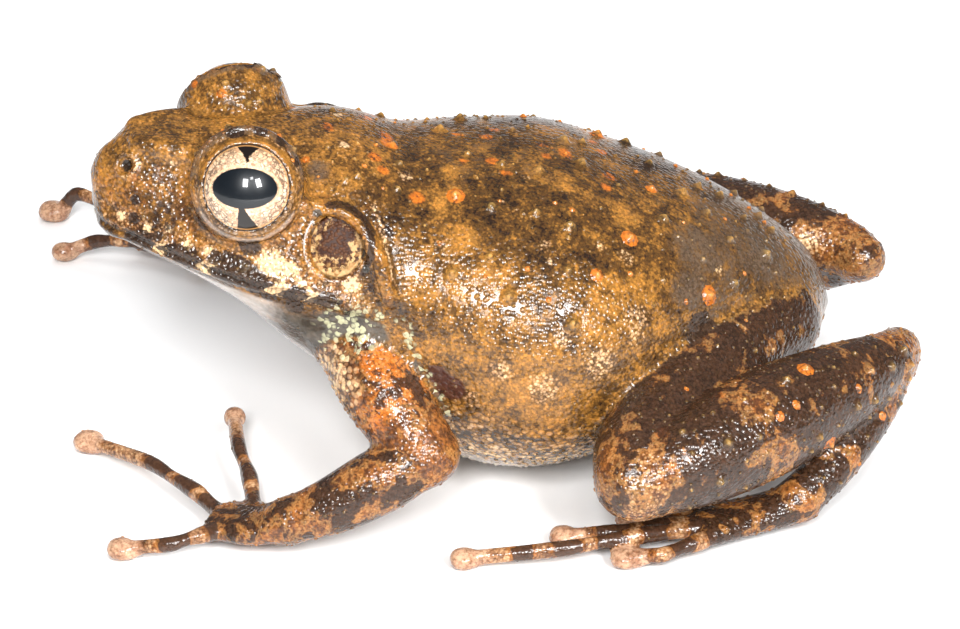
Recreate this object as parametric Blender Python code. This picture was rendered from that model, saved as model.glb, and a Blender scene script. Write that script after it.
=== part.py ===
"""A small Madagascan forest frog at rest, life size, in metres, +Z up, facing -Y, its left side at +X."""

import math
import random

import bmesh
import bpy
from mathutils import Matrix, Vector

# All sizes below are millimetres; MM turns them into metres where a mesh is made.
MM = 0.001
GAP = 0.3
LEFT, RIGHT = 1, -1

# The pose is measured from the body's midline, so this offset centres its box on the origin.
STANCE_OFFSET = Vector((5.5, 1.1, 0.0))

# Cross-sections of head and body, from the snout to the vent. Each leans, top backwards, and has:
# place along the body at the lip line, height of the top, of the lip line or widest level, and of the
# underside, half width, squareness of the upper half (1 round, 0.5 boxy), narrowing of the crown.
LEAN = 0.27
SECTIONS = (
    (-19.50, 17.95, 14.10, 13.30, 1.90, 0.90, 0.08),
    (-18.40, 18.20, 13.90, 12.85, 2.80, 0.76, 0.18),
    (-16.30, 18.15, 13.40, 11.90, 4.20, 0.66, 0.32),
    (-13.00, 18.05, 12.70, 10.00, 6.05, 0.66, 0.36),
    (-9.50, 17.55, 12.00, 7.00, 7.05, 0.72, 0.20),
    (-6.50, 16.75, 11.00, 4.70, 7.60, 0.86, 0.06),
    (-3.20, 16.10, 9.50, 1.90, 9.20, 0.92, 0.0),
    (0.60, 15.60, 8.30, 0.30, 10.40, 0.92, 0.0),
    (4.40, 14.30, 7.70, 0.35, 9.80, 0.92, 0.0),
    (8.20, 12.85, 7.30, 1.90, 7.40, 0.88, 0.0),
    (11.80, 11.00, 7.00, 3.40, 5.10, 0.90, 0.0),
    (14.70, 8.80, 6.50, 4.50, 3.20, 0.95, 0.0),
)
NECK = 5
SNOUT_TIP = (-20.15, 15.90)
JAW_TIP = (-19.85, 13.80)
VENT = (16.10, 6.40)
ALONG_STEPS = 4
UPPER_SIDES = 16
LOWER_SIDES = 12
LIP_FLARE = 0.15
JAW_INSET = 0.25
LIP_FADE = 3.0

# Eyes: centre of the left one, and the line it looks along.
EYE_CENTRE = Vector((4.1, -12.85, 16.8))
EYE_AXIS = Vector((0.90, -0.28, 0.33)).normalized()
EYE_RADIUS = 2.1
SOCKET_RADIUS = EYE_RADIUS + GAP
BROW_RADIUS = 2.8
BROW_LIFT = Vector((0.0, -0.1, 0.1))
LID_LEVEL = 0.9

# Ear discs and the fold of skin over them, as places on the side of the head.
EAR_PLACE = (-9.57, 18.5)
EAR_RADII = (1.35, 1.55)
EAR_THICKNESS = 0.7
FOLD_PLACES = ((-10.6, 38.0), (-9.3, 35.5), (-8.1, 27.0), (-7.4, 18.0), (-7.2, 8.0))
FOLD_RADIUS = 0.4

NOSTRIL_PLACE = (-18.65, 52.0)
NOSTRIL_RADIUS = 0.3
NOSTRIL_DEPTH = 0.5

# Conical warts: height over the skin, radius and depth of the root, and how far each strays from its row.
WART_HEIGHT = (0.30, 0.48)
WART_RADIUS = 0.36
WART_ROOT = 0.28
WART_SIDES = 5
WART_STRAY = 0.45
WART_TURN = 4.5
WART_SEED = 11
# Rows over the back and the crown, by their angle; places where each row starts and ends; the spacing.
BACK_ROWS = ((82.0, -5.4, 11.6), (64.0, -4.6, 12.4), (46.0, -4.9, 9.0), (98.0, -4.5, 11.9), (116.0, -5.2, 12.2),
             (134.0, -4.7, 9.2))
BACK_SPACING = 2.15
CROWN_ROWS = ((72.0, -10.6, -7.6), (108.0, -10.1, -7.6), (90.0, -9.4, -7.9))
CROWN_SPACING = 1.35
# Warts round the top of each brow, as turns about the up axis and heights over the eye's level.
BROW_WARTS = ((-70.0, 52.0), (-20.0, 62.0), (35.0, 60.0), (85.0, 50.0), (180.0, 66.0))
# Rows along a shank and a tarsus, as shares of the length and turns from the outer side up over the top.
SHANK_ROWS = (((0.24, 0.38, 0.52, 0.66, 0.80, 0.92), 62.0), ((0.30, 0.47, 0.63, 0.77), 18.0), ((0.36, 0.56), -22.0))
TARSUS_ROWS = (((0.30, 0.52, 0.74), 25.0), ((0.42, 0.64), -35.0))

SHELL_LIMIT = 1.4
LIMB_SIDES = 12
DIGIT_SIDES = 8
LIMB_STEPS = 3
END_SLIDE = 0.75
END_SHARE = 0.66

# Limbs of the left side: points down the middle of each piece, with half width and half height.
UPPER_ARM = {
    LEFT: ((5.0, -7.8, 8.8, 2.1), (7.4, -7.0, 7.4, 2.05), (9.1, -5.9, 6.0, 1.8), (10.2, -5.0, 5.1, 1.55)),
    RIGHT: ((-5.0, -7.9, 8.8, 2.2), (-7.4, -8.0, 8.1, 2.1), (-9.9, -8.2, 7.2, 1.8), (-11.8, -8.4, 6.3, 1.5)),
}
FOREARM = {
    LEFT: ((10.35, -5.7, 4.7, 1.4), (10.5, -7.3, 3.95, 1.6), (10.6, -9.6, 2.8, 1.4), (10.4, -11.6, 2.0, 1.1)),
    RIGHT: ((-12.5, -8.8, 5.9, 1.35), (-14.2, -9.9, 5.0, 1.5), (-16.5, -11.4, 3.6, 1.3), (-18.2, -12.6, 2.4, 1.1)),
}
PALM = {
    LEFT: ((10.3, -11.9, 1.9, 1.1, 1.0), (9.4, -13.3, 1.3, 1.6, 0.8), (8.3, -14.7, 1.0, 1.55, 0.65)),
    RIGHT: ((-18.4, -12.8, 2.2, 1.1, 1.0), (-19.6, -14.4, 1.5, 1.6, 0.8), (-20.9, -15.9, 1.1, 1.55, 0.65)),
}
# Fingers 1 to 4, from the palm out to the middle of the disc, and the radius of each disc.
FINGERS = {
    LEFT: (
        ((9.2, -12.2, 1.2), (7.7, -10.9, 1.0), (6.4, -9.6, 0.5)),
        ((8.6, -13.2, 1.2), (5.4, -13.2, 1.5), (2.6, -13.5, 1.7), (-0.7, -13.4, 1.4)),
        ((8.2, -14.6, 1.0), (5.8, -15.9, 1.2), (2.6, -17.9, 1.1), (-0.8, -20.6, 0.5)),
        ((8.9, -14.4, 1.0), (9.9, -15.8, 1.2), (10.3, -17.5, 1.0), (9.6, -19.7, 0.5)),
    ),
    RIGHT: (
        ((-19.0, -13.8, 1.3), (-18.6, -13.7, 1.3), (-17.7, -13.8, 1.1)),
        ((-19.9, -15.7, 1.2), (-19.8, -17.4, 1.5), (-20.5, -19.0, 1.1), (-20.7, -20.6, 0.5)),
        ((-21.2, -16.2, 1.0), (-23.0, -17.8, 1.8), (-24.8, -19.6, 1.7), (-25.3, -20.9, 0.5)),
        ((-20.7, -15.2, 1.0), (-22.2, -15.3, 1.2), (-23.7, -15.7, 1.0), (-25.1, -16.5, 0.5)),
    ),
}
FINGER_DISCS = (0.5, 0.55, 0.8, 0.72)
FINGER_RADIUS = 0.46

# The hind legs fold alike on both sides.
THIGH = (
    (2.6, 12.8, 7.0, 2.4), (5.4, 9.9, 6.9, 2.6), (8.6, 7.2, 6.1, 2.5), (11.4, 5.2, 5.2, 2.3), (13.0, 4.5, 4.6, 1.9),
)
SHANK = (
    (13.2, 4.8, 4.6, 1.85), (11.9, 8.0, 5.2, 2.5), (10.1, 11.4, 5.65, 2.65), (8.0, 15.0, 6.0, 2.2),
    (6.0, 17.8, 6.2, 1.45), (4.8, 18.7, 6.1, 1.2),
)
TARSUS = ((5.5, 18.4, 5.5, 1.0), (7.2, 17.2, 4.3, 1.1), (9.5, 14.9, 2.7, 1.1), (10.7, 13.0, 1.7, 1.1))
SOLE = ((10.7, 13.0, 1.4, 1.1, 0.95), (11.0, 10.8, 1.05, 1.3, 0.75), (11.6, 8.4, 0.95, 1.4, 0.65))
TOES = (
    ((10.5, 10.4, 0.9), (9.8, 9.0, 0.8), (9.3, 7.4, 0.5)),
    ((10.8, 9.4, 0.9), (10.5, 7.2, 0.9), (9.9, 4.8, 0.5)),
    ((11.2, 8.8, 0.9), (11.5, 6.0, 1.0), (11.6, 3.4, 0.9), (11.1, 1.5, 0.5)),
    ((11.7, 8.6, 0.9), (12.4, 4.9, 1.1), (13.0, 1.0, 1.0), (12.5, -3.5, 0.5)),
    ((12.0, 9.4, 0.9), (13.0, 7.7, 0.9), (13.8, 5.8, 0.8), (13.3, 4.2, 0.5)),
)
TOE_DISCS = (0.5, 0.55, 0.75, 0.68, 0.8)
TOE_RADIUS = 0.48
DISC_THICKNESS = 0.5
DISC_NECK = 0.82
DIGIT_TAPER = 0.12
NECK_BACK = 1.5
DISC_BACK, DISC_FRONT = 0.55, 0.5
DISC_BACK_WIDTH, DISC_FRONT_WIDTH = 0.85, 0.88
DISC_FRONT_HEIGHT = 0.95
FLOOR_SIZE = 100.0

OLIVE = (0.20, 0.13, 0.05)
RUST = (0.24, 0.11, 0.05)
UMBER = (0.13, 0.08, 0.05)
CREAM = (0.55, 0.45, 0.32)
PALE = (0.62, 0.58, 0.52)
WET_SKIN = 0.42
EYE_GLOSS = 0.08


def smooth_rows(rows, steps):
    """Points of a smooth curve through rows[1:-1]; the two outer rows only give its end directions."""
    curve = []
    for index in range(1, len(rows) - 2):
        for step in range(steps):
            t = step / steps
            curve.append(tuple(
                0.5 * (2 * b + (c - a) * t + (2 * a - 5 * b + 4 * c - d) * t ** 2 + (3 * b - a - 3 * c + d) * t ** 3)
                for a, b, c, d in zip(rows[index - 1], rows[index], rows[index + 1], rows[index + 2])))
    curve.append(rows[-2])
    return curve


def aimed(rows):
    """Rows with one more at each end, so that a smooth curve reaches the true ends."""
    before = tuple(2 * a - b for a, b in zip(rows[0], rows[1]))
    after = tuple(2 * a - b for a, b in zip(rows[-1], rows[-2]))
    return [before, *rows, after]


def new_object(name, bm):
    mesh = bpy.data.meshes.new(name)
    bm.to_mesh(mesh)
    bm.free()
    obj = bpy.data.objects.new(name, mesh)
    bpy.context.scene.collection.objects.link(obj)
    return obj


def loft(name, rings, start=None, end=None):
    """Skin over closed rings of points, each end closed by a pole or, where none is given, a flat face."""
    bm = bmesh.new()
    rows = [[bm.verts.new(Vector(point) * MM) for point in ring] for ring in rings]
    for first, second in zip(rows, rows[1:]):
        for i in range(len(first)):
            j = (i + 1) % len(first)
            bm.faces.new((first[i], first[j], second[j], second[i]))
    for row, pole in ((rows[0], start), (rows[-1], end)):
        if pole is None:
            bm.faces.new(row)
        else:
            tip = bm.verts.new(Vector(pole) * MM)
            for i in range(len(row)):
                bm.faces.new((row[i], row[(i + 1) % len(row)], tip))
    bmesh.ops.recalc_face_normals(bm, faces=bm.faces)
    return new_object(name, bm)


def section_point(row, angle, inset=0.0):
    """Point of a body section at an angle, from 0 at the left lip line over the crown to 180."""
    place, top, level, under, half_width, squareness, narrowing = row
    across = math.cos(math.radians(angle))
    rise = math.sin(math.radians(angle))
    power = squareness if rise >= 0 else 1.0
    height = abs(rise) ** power
    x = math.copysign(abs(across) ** power, across) * (half_width - inset)
    if rise >= 0:
        x *= 1.0 - narrowing * height
        z = level + (top - level) * height
    else:
        z = level - (level - under) * height
    return Vector((x, place + LEAN * (z - level), z))


def with_tip(tip, rows):
    """Sections led by a point at the front and by the mirror image past it, which rounds the front."""
    place, height = tip
    point = (place, height, height, height, 0.0, rows[0][5], rows[0][6])
    first = rows[0]
    mirrored = (first[0], first[3], first[2], first[1], -first[4], first[5], first[6])
    return [mirrored, point, *rows]


BODY_ROWS = aimed(list(SECTIONS) + [(VENT[0], VENT[1], VENT[1], VENT[1], 0.0, 1.0, 0.0)])


def section_at(place):
    """The body section whose lip line or widest level is at a place along the body."""
    rows = smooth_rows(BODY_ROWS, ALONG_STEPS * 4)
    for first, second in zip(rows, rows[1:]):
        if first[0] <= place <= second[0]:
            t = (place - first[0]) / (second[0] - first[0])
            return tuple(a + (b - a) * t for a, b in zip(first, second))
    raise ValueError("no section there")


def body_point(place, angle):
    return section_point(section_at(place), angle)


def body_normal(place, angle):
    step = 0.3
    along = body_point(place + step, angle) - body_point(place - step, angle)
    around = body_point(place, angle + 3.0) - body_point(place, angle - 3.0)
    return around.cross(along).normalized() * -1.0


def shifted(row, amount):
    return (row[0] + amount, *row[1:])


def boolean(target, tool, operation="DIFFERENCE"):
    """Cut or join one object by another, then put the result in the first one's place."""
    modifier = target.modifiers.new("Boolean", "BOOLEAN")
    modifier.operation = operation
    modifier.solver = "EXACT"
    if isinstance(tool, bpy.types.Collection):
        modifier.operand_type = "COLLECTION"
        modifier.collection = tool
    else:
        modifier.object = tool
    bpy.context.view_layer.update()
    result = bpy.data.meshes.new_from_object(target.evaluated_get(bpy.context.evaluated_depsgraph_get()))
    target.modifiers.remove(modifier)
    old = target.data
    target.data = result
    bpy.data.meshes.remove(old)


def discard(obj):
    mesh = obj.data
    bpy.data.objects.remove(obj)
    bpy.data.meshes.remove(mesh)


def envelope(obj):
    """A copy of an uncut object whose surface stands out all round by the gap."""
    bm = bmesh.new()
    bm.from_mesh(obj.data)
    bm.normal_update()
    moves = [(vert, vert.normal * min(vert.calc_shell_factor(), SHELL_LIMIT) * GAP * MM) for vert in bm.verts]
    for vert, move in moves:
        vert.co += move
    return new_object("envelope_" + obj.name, bm)


def keep_largest(obj):
    """Weld stray corners and keep the largest closed surface of an object."""
    bm = bmesh.new()
    bm.from_mesh(obj.data)
    bmesh.ops.remove_doubles(bm, verts=bm.verts, dist=1e-6)
    bmesh.ops.dissolve_degenerate(bm, edges=bm.edges, dist=1e-6)
    loose = set(bm.verts)
    shells = []
    while loose:
        shell = set()
        front = [loose.pop()]
        while front:
            vert = front.pop()
            shell.add(vert)
            for edge in vert.link_edges:
                other = edge.other_vert(vert)
                if other in loose:
                    loose.remove(other)
                    front.append(other)
        shells.append(shell)
    shells.sort(key=len, reverse=True)
    for shell in shells[1:]:
        bmesh.ops.delete(bm, geom=list(shell), context="VERTS")
    bm.to_mesh(obj.data)
    bm.free()


def fit(obj, neighbours):
    """Cut an object back from its neighbours' envelopes, so that they meet across the gap.

    Returns the object and its own envelope, taken before the cut."""
    own = envelope(obj)
    for neighbour in neighbours:
        boolean(obj, neighbour)
    keep_largest(obj)
    return obj, own


def ball(name, centre, radius, segments=18, rings=12):
    bm = bmesh.new()
    bmesh.ops.create_uvsphere(bm, u_segments=segments, v_segments=rings, radius=radius * MM)
    bmesh.ops.translate(bm, verts=bm.verts, vec=Vector(centre) * MM)
    return new_object(name, bm)


def plug(name, centre, axis, radii, inner, outer, segments=16):
    """A short elliptic cylinder round an axis, from inner to outer along it, its height turned upright."""
    axis = axis.normalized()
    upright = (Vector((0, 0, 1)) - axis * axis.z).normalized()
    across = axis.cross(upright)
    rings = []
    for level in (inner, outer):
        ring = []
        for k in range(segments):
            turn = 2 * math.pi * k / segments
            ring.append(centre + axis * level + across * radii[0] * math.cos(turn) + upright * radii[1] * math.sin(turn))
        rings.append(ring)
    return loft(name, rings)


def limb_frames(points, steps=LIMB_STEPS):
    """Stations down a limb: middle, direction, two cross axes, half width and half height."""
    rows = [tuple(point) if len(point) == 5 else (*point, point[3]) for point in points]
    rows = smooth_rows(aimed(rows), steps)
    centres = [Vector(row[:3]) for row in rows]
    last = len(rows) - 1
    frames = []
    for index, row in enumerate(rows):
        ahead = (centres[min(index + 1, last)] - centres[max(index - 1, 0)]).normalized()
        across = ahead.cross(Vector((0, 0, 1))).normalized()
        frames.append((centres[index], ahead, across, across.cross(ahead), row[3], row[4]))
    return frames


def limb_ring(frame, sides, slide=0.0, share=1.0):
    centre, ahead, across, upright, wide, tall = frame
    turns = [2 * math.pi * k / sides for k in range(sides)]
    return [
        centre + ahead * slide + across * wide * share * math.cos(turn) + upright * tall * share * math.sin(turn)
        for turn in turns]


def tube(name, points, sides=LIMB_SIDES, steps=LIMB_STEPS):
    """A limb: round or flattened rings along a smooth line, with rounded ends."""
    frames = limb_frames(points, steps)
    rings = [limb_ring(frame, sides) for frame in frames]
    poles = []
    for frame, way in ((frames[0], -1), (frames[-1], 1)):
        reach = min(frame[4], frame[5])
        cap = limb_ring(frame, sides, way * END_SLIDE * reach, END_SHARE)
        rings.insert(0 if way < 0 else len(rings), cap)
        poles.append(frame[0] + frame[1] * way * reach)
    return loft(name, rings, *poles)


def wart(foot, normal, height):
    """A small cone that stands on the skin, its root sunk in."""
    across = normal.orthogonal().normalized()
    along = normal.cross(across)
    turns = [2 * math.pi * k / WART_SIDES for k in range(WART_SIDES)]
    ring = [
        foot - normal * WART_ROOT + (across * math.cos(turn) + along * math.sin(turn)) * WART_RADIUS
        for turn in turns]
    middle = foot - normal * WART_ROOT
    return loft("wart", [ring], start=middle, end=foot + normal * height)


def fuse(obj, feet, rng):
    """Join warts to an object by one union; each foot is a point of the skin with its outward direction."""
    warts = bpy.data.collections.new("warts")
    bpy.context.scene.collection.children.link(warts)
    for foot, normal in feet:
        cone = wart(foot, normal, rng.uniform(*WART_HEIGHT))
        bpy.context.scene.collection.objects.unlink(cone)
        warts.objects.link(cone)
    boolean(obj, warts, "UNION")
    for cone in list(warts.objects):
        discard(cone)
    bpy.data.collections.remove(warts)
    keep_largest(obj)


def skin_feet(rows, spacing, rng):
    """Feet of warts in rows along head or body, each strayed a little from its row."""
    feet = []
    for angle, start, end in rows:
        place = start
        while place <= end:
            spot = place + rng.uniform(-WART_STRAY, WART_STRAY)
            turn = angle + rng.uniform(-WART_TURN, WART_TURN)
            feet.append((body_point(spot, turn), body_normal(spot, turn)))
            place += spacing
    return feet


def limb_feet(points, rows, side):
    """Feet of warts along a limb of one side, over its outer and upper faces."""
    frames = limb_frames(points)
    feet = []
    for shares, turn in rows:
        for share in shares:
            centre, ahead, across, upright, wide, tall = frames[round(share * (len(frames) - 1))]
            outward = across * math.copysign(1.0, across.x * side)
            angle = math.radians(turn)
            reach = outward * wide * math.cos(angle) + upright * tall * math.sin(angle)
            feet.append((centre + reach, reach.normalized()))
    return feet


def digit(name, points, radius, disc):
    """A finger or toe: a thin tube that ends in a flattened disc."""
    base = [(*point, radius * (1.0 - DIGIT_TAPER * k)) for k, point in enumerate(points[:-1])]
    tip = Vector(points[-1])
    ahead = (tip - Vector(points[-2])).normalized()
    level = Vector((ahead.x, ahead.y, 0)).normalized()
    neck = tip - ahead * disc * NECK_BACK
    back = tip - level * disc * DISC_BACK
    front = tip + level * disc * DISC_FRONT
    rows = [row if len(row) == 5 else (*row, row[3]) for row in base]
    rows.append((*neck, radius * DISC_NECK, radius * DISC_NECK))
    rows.append((*back, disc * DISC_BACK_WIDTH, DISC_THICKNESS))
    rows.append((*front, disc * DISC_FRONT_WIDTH, DISC_THICKNESS * DISC_FRONT_HEIGHT))
    return tube(name, rows, DIGIT_SIDES, 2)


def build_core():
    """Head, lower jaw and torso: one run of sections parted along the mouth and across the neck."""
    upper = [180.0 * k / UPPER_SIDES for k in range(UPPER_SIDES + 1)]
    lower = [-180.0 * k / LOWER_SIDES for k in range(LOWER_SIDES + 1)]

    front_rows = list(SECTIONS[:NECK + 1])
    after_neck = SECTIONS[NECK + 1]
    head_rows = smooth_rows(with_tip(SNOUT_TIP, front_rows) + [after_neck], ALONG_STEPS)[1:]
    head_rows[-1] = shifted(head_rows[-1], -GAP / 2)
    rings = []
    for row in head_rows:
        raised = (row[0], row[1], row[2] + GAP / 2, *row[3:])
        ring = [section_point(raised, angle) for angle in upper]
        flare = LIP_FLARE * min(1.0, row[4] / LIP_FADE)
        ring[0].x += flare
        ring[-1].x -= flare
        rings.append(ring)
    head = loft("head", rings, start=(0.0, *SNOUT_TIP))

    jaw_rows = smooth_rows(with_tip(JAW_TIP, front_rows) + [after_neck], ALONG_STEPS)[1:]
    jaw_rows[-1] = shifted(jaw_rows[-1], -GAP / 2)
    rings = []
    for row in jaw_rows:
        inset = JAW_INSET * min(1.0, row[4] / LIP_FADE)
        lowered = (row[0], row[1], row[2] - GAP / 2, *row[3:])
        rings.append([section_point(lowered, angle, inset) for angle in lower])
    jaw = loft("lower_jaw", rings, start=(0.0, *JAW_TIP))

    torso_rows = smooth_rows(BODY_ROWS[NECK:], ALONG_STEPS)[:-1]
    torso_rows[0] = shifted(torso_rows[0], GAP / 2)
    around = upper + [360.0 + angle for angle in reversed(lower[1:-1])]
    rings = [[section_point(row, angle if angle <= 180 else angle - 360) for angle in around] for row in torso_rows]
    torso = loft("torso", rings, end=(0.0, *VENT))
    return head, jaw, torso


def mirrored(point, side):
    return Vector((point[0] * side, point[1], point[2]))


def build_eyes(head):
    """Brows are fused to the head, then each socket is opened at the level of the lids."""
    eyes = []
    feet = []
    for side, label in ((LEFT, "left"), (RIGHT, "right")):
        centre = mirrored(EYE_CENTRE, side)
        axis = mirrored(EYE_AXIS, side)
        brow = ball("brow", centre + BROW_LIFT, BROW_RADIUS)
        boolean(head, brow, "UNION")
        discard(brow)
        opening = plug("opening", centre, axis, (BROW_RADIUS, BROW_RADIUS), LID_LEVEL, 2 * BROW_RADIUS, 24)
        boolean(head, opening)
        discard(opening)
        socket = ball("socket", centre, SOCKET_RADIUS)
        boolean(head, socket)
        discard(socket)
        brow_middle = centre + BROW_LIFT
        for turn, rise in BROW_WARTS:
            level = math.cos(math.radians(rise))
            way = Vector((
                -side * level * math.cos(math.radians(turn)),
                level * math.sin(math.radians(turn)),
                math.sin(math.radians(rise))))
            feet.append((brow_middle + way * BROW_RADIUS, way))
        eyes.append(ball("eye_" + label, centre, EYE_RADIUS, 20, 14))
    return eyes, feet


def build_ears(head):
    """Each ear disc lies in a shallow recess, under the fold that runs from the eye to the shoulder."""
    discs = []
    place, angle = EAR_PLACE
    for side, label in ((LEFT, "left"), (RIGHT, "right")):
        centre = mirrored(body_point(place, angle), side)
        axis = mirrored(body_normal(place, angle), side)
        fold_line = [(*mirrored(body_point(*spot), side), FOLD_RADIUS) for spot in FOLD_PLACES]
        fold = tube("fold", fold_line, DIGIT_SIDES, 2)
        boolean(head, fold, "UNION")
        discard(fold)
        recess_radii = (EAR_RADII[0] + GAP, EAR_RADII[1] + GAP)
        recess = plug("recess", centre, axis, recess_radii, -EAR_THICKNESS - GAP, 2.0)
        boolean(head, recess)
        discard(recess)
        discs.append(plug("tympanum_" + label, centre, axis, EAR_RADII, -EAR_THICKNESS, 0.0))
    return discs


def build_nostrils(head):
    for side in (LEFT, RIGHT):
        centre = mirrored(body_point(*NOSTRIL_PLACE), side)
        axis = mirrored(body_normal(*NOSTRIL_PLACE), side)
        pit = plug("pit", centre, axis, (NOSTRIL_RADIUS, NOSTRIL_RADIUS), -NOSTRIL_DEPTH, 1.0, 8)
        boolean(head, pit)
        discard(pit)


def side_points(points, side):
    return [(point[0] * side, *point[1:]) for point in points]


def build_arm(side, label, trunk):
    """Arm, hand and four fingers; the two arms are posed apart."""
    upper, around_upper = fit(tube("upper_arm_" + label, UPPER_ARM[side]), trunk)
    forearm, around_forearm = fit(tube("forearm_" + label, FOREARM[side]), [around_upper])
    hand, around_hand = fit(tube("hand_" + label, PALM[side]), [around_forearm])
    parts = [upper, forearm, hand]
    envelopes = [around_upper, around_forearm, around_hand]
    for index, points in enumerate(FINGERS[side]):
        finger = digit(f"finger_{index + 1}_{label}", points, FINGER_RADIUS, FINGER_DISCS[index])
        finger, around_finger = fit(finger, envelopes[1:])
        parts.append(finger)
        envelopes.append(around_finger)
    for own in envelopes:
        discard(own)
    return parts


def build_leg(side, label, trunk, rng):
    """Folded hind leg, foot and five toes; both sides are posed alike."""
    thigh, around_thigh = fit(tube("thigh_" + label, side_points(THIGH, side)), trunk)
    shank, around_shank = fit(tube("shank_" + label, side_points(SHANK, side)), [*trunk, around_thigh])
    tarsus, around_tarsus = fit(tube("tarsus_" + label, side_points(TARSUS, side)), [around_shank, around_thigh])
    foot, around_foot = fit(tube("foot_" + label, side_points(SOLE, side)), [around_tarsus, around_shank])
    fuse(shank, limb_feet(side_points(SHANK, side), SHANK_ROWS, side), rng)
    fuse(tarsus, limb_feet(side_points(TARSUS, side), TARSUS_ROWS, side), rng)
    parts = [thigh, shank, tarsus, foot]
    envelopes = [around_thigh, around_shank, around_tarsus, around_foot]
    for index, points in enumerate(TOES):
        toe = digit(f"toe_{index + 1}_{label}", side_points(points, side), TOE_RADIUS, TOE_DISCS[index])
        toe, around_toe = fit(toe, envelopes)
        parts.append(toe)
        envelopes.append(around_toe)
    for own in envelopes:
        discard(own)
    return parts


def set_on_floor(parts):
    """Everything below the floor is cut away, which leaves small flats at one level."""
    reach = (FLOOR_SIZE, FLOOR_SIZE)
    floor = plug("floor", Vector((0, 0, 0)), Vector((0.0, 0.0, 1.0)), reach, -FLOOR_SIZE, 0.0, 4)
    for part in parts:
        if min(vert.co.z for vert in part.data.vertices) < 0.0:
            boolean(part, floor)
            keep_largest(part)
        for vert in part.data.vertices:
            vert.co.z = max(vert.co.z, 0.0)
    discard(floor)


def finish(obj, colour, roughness=WET_SKIN):
    material = bpy.data.materials.new(obj.name)
    material.use_nodes = True
    shader = material.node_tree.nodes["Principled BSDF"]
    shader.inputs["Base Color"].default_value = (*colour, 1.0)
    shader.inputs["Roughness"].default_value = roughness
    shader.inputs["Metallic"].default_value = 0.0
    obj.data.materials.clear()
    obj.data.materials.append(material)
    obj.data.shade_smooth()
    obj.data.set_sharp_from_angle(angle=math.radians(40.0))


def place(obj, stance):
    """Give an object its own middle as its origin and hang it on the stance."""
    corners = [Vector(corner) for corner in obj.bound_box]
    middle = (corners[0] + corners[6]) / 2
    obj.data.transform(Matrix.Translation(-middle))
    obj.location = middle
    obj.parent = stance


COLOURS = {
    "head": OLIVE, "lower_jaw": PALE, "torso": OLIVE, "eye": (0.62, 0.50, 0.34), "tympanum": UMBER,
    "upper_arm": RUST, "forearm": RUST, "hand": RUST, "finger": CREAM,
    "thigh": UMBER, "shank": UMBER, "tarsus": RUST, "foot": UMBER, "toe": CREAM,
}


def colour_of(name):
    for start, colour in COLOURS.items():
        if name.startswith(start):
            return colour
    raise KeyError(name)


def build_frog():
    for obj in list(bpy.data.objects):
        bpy.data.objects.remove(obj)
    head, jaw, torso = build_core()
    trunk = [envelope(torso), envelope(jaw), envelope(head)]
    rng = random.Random(WART_SEED)
    eyes, brow_feet = build_eyes(head)
    ears = build_ears(head)
    build_nostrils(head)
    fuse(head, brow_feet + skin_feet(CROWN_ROWS, CROWN_SPACING, rng), rng)
    fuse(torso, skin_feet(BACK_ROWS, BACK_SPACING, rng), rng)
    parts = [head, jaw, torso, *eyes, *ears]
    for side, label in ((LEFT, "left"), (RIGHT, "right")):
        parts += build_arm(side, label, trunk)
        parts += build_leg(side, label, trunk[:1], rng)
    for own in trunk:
        discard(own)
    set_on_floor(parts)
    stance = bpy.data.objects.new("stance", None)
    stance.location = STANCE_OFFSET * MM
    bpy.context.scene.collection.objects.link(stance)
    for part in parts:
        place(part, stance)
        finish(part, colour_of(part.name), EYE_GLOSS if part.name.startswith("eye") else WET_SKIN)


build_frog()
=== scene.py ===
# %% [markdown]
# # A small forest frog, dressed as a museum model
# The real animal is a moist, warty frog of the rain forest floor, about four centimetres long as it sits.
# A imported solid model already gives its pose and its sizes. This lesson lays one living skin over it,
# sets two glassy eyes into the skin, and lights the result like a small thing on a white studio table.

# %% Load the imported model
import math
import random

import bmesh
import bpy
import numpy as np
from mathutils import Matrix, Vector

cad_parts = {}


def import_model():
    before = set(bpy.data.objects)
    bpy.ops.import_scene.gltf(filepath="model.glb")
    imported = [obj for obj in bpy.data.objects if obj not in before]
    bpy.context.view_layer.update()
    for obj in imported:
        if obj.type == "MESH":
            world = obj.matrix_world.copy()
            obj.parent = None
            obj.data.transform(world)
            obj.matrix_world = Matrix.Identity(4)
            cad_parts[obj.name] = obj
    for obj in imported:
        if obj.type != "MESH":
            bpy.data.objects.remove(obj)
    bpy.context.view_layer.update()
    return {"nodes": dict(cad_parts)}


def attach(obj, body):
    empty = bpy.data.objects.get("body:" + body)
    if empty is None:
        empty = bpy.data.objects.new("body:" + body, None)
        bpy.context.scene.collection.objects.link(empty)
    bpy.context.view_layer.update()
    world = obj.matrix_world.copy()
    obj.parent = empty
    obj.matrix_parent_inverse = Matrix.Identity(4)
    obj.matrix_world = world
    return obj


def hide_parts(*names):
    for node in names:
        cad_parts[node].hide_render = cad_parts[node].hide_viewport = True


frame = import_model()
print("solid nodes:", len(frame["nodes"]))

# %% [markdown]
# ## Units and smooth lines
# The frog is described in millimetres from its own midline, because such numbers are easy to read. The
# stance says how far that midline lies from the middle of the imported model. Every body part follows a smooth
# line through a few rows of numbers, so one helper for such lines comes first.

# %% Units and smooth lines
MM = 0.001
STANCE = np.array((5.5, 1.1, 0.0))
UP = np.array((0.0, 0.0, 1.0))


def smooth_rows(rows, steps):
    """Rows of a smooth curve through rows[1:-1]; the two outer rows only aim its ends."""
    rows = np.asarray(rows, float)
    t = np.arange(steps)[:, None] / steps
    pieces = [
        0.5 * (2 * b + (c - a) * t + (2 * a - 5 * b + 4 * c - d) * t ** 2 + (3 * b - a - 3 * c + d) * t ** 3)
        for a, b, c, d in zip(rows, rows[1:], rows[2:], rows[3:])]
    return np.vstack([*pieces, rows[-2]])


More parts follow.
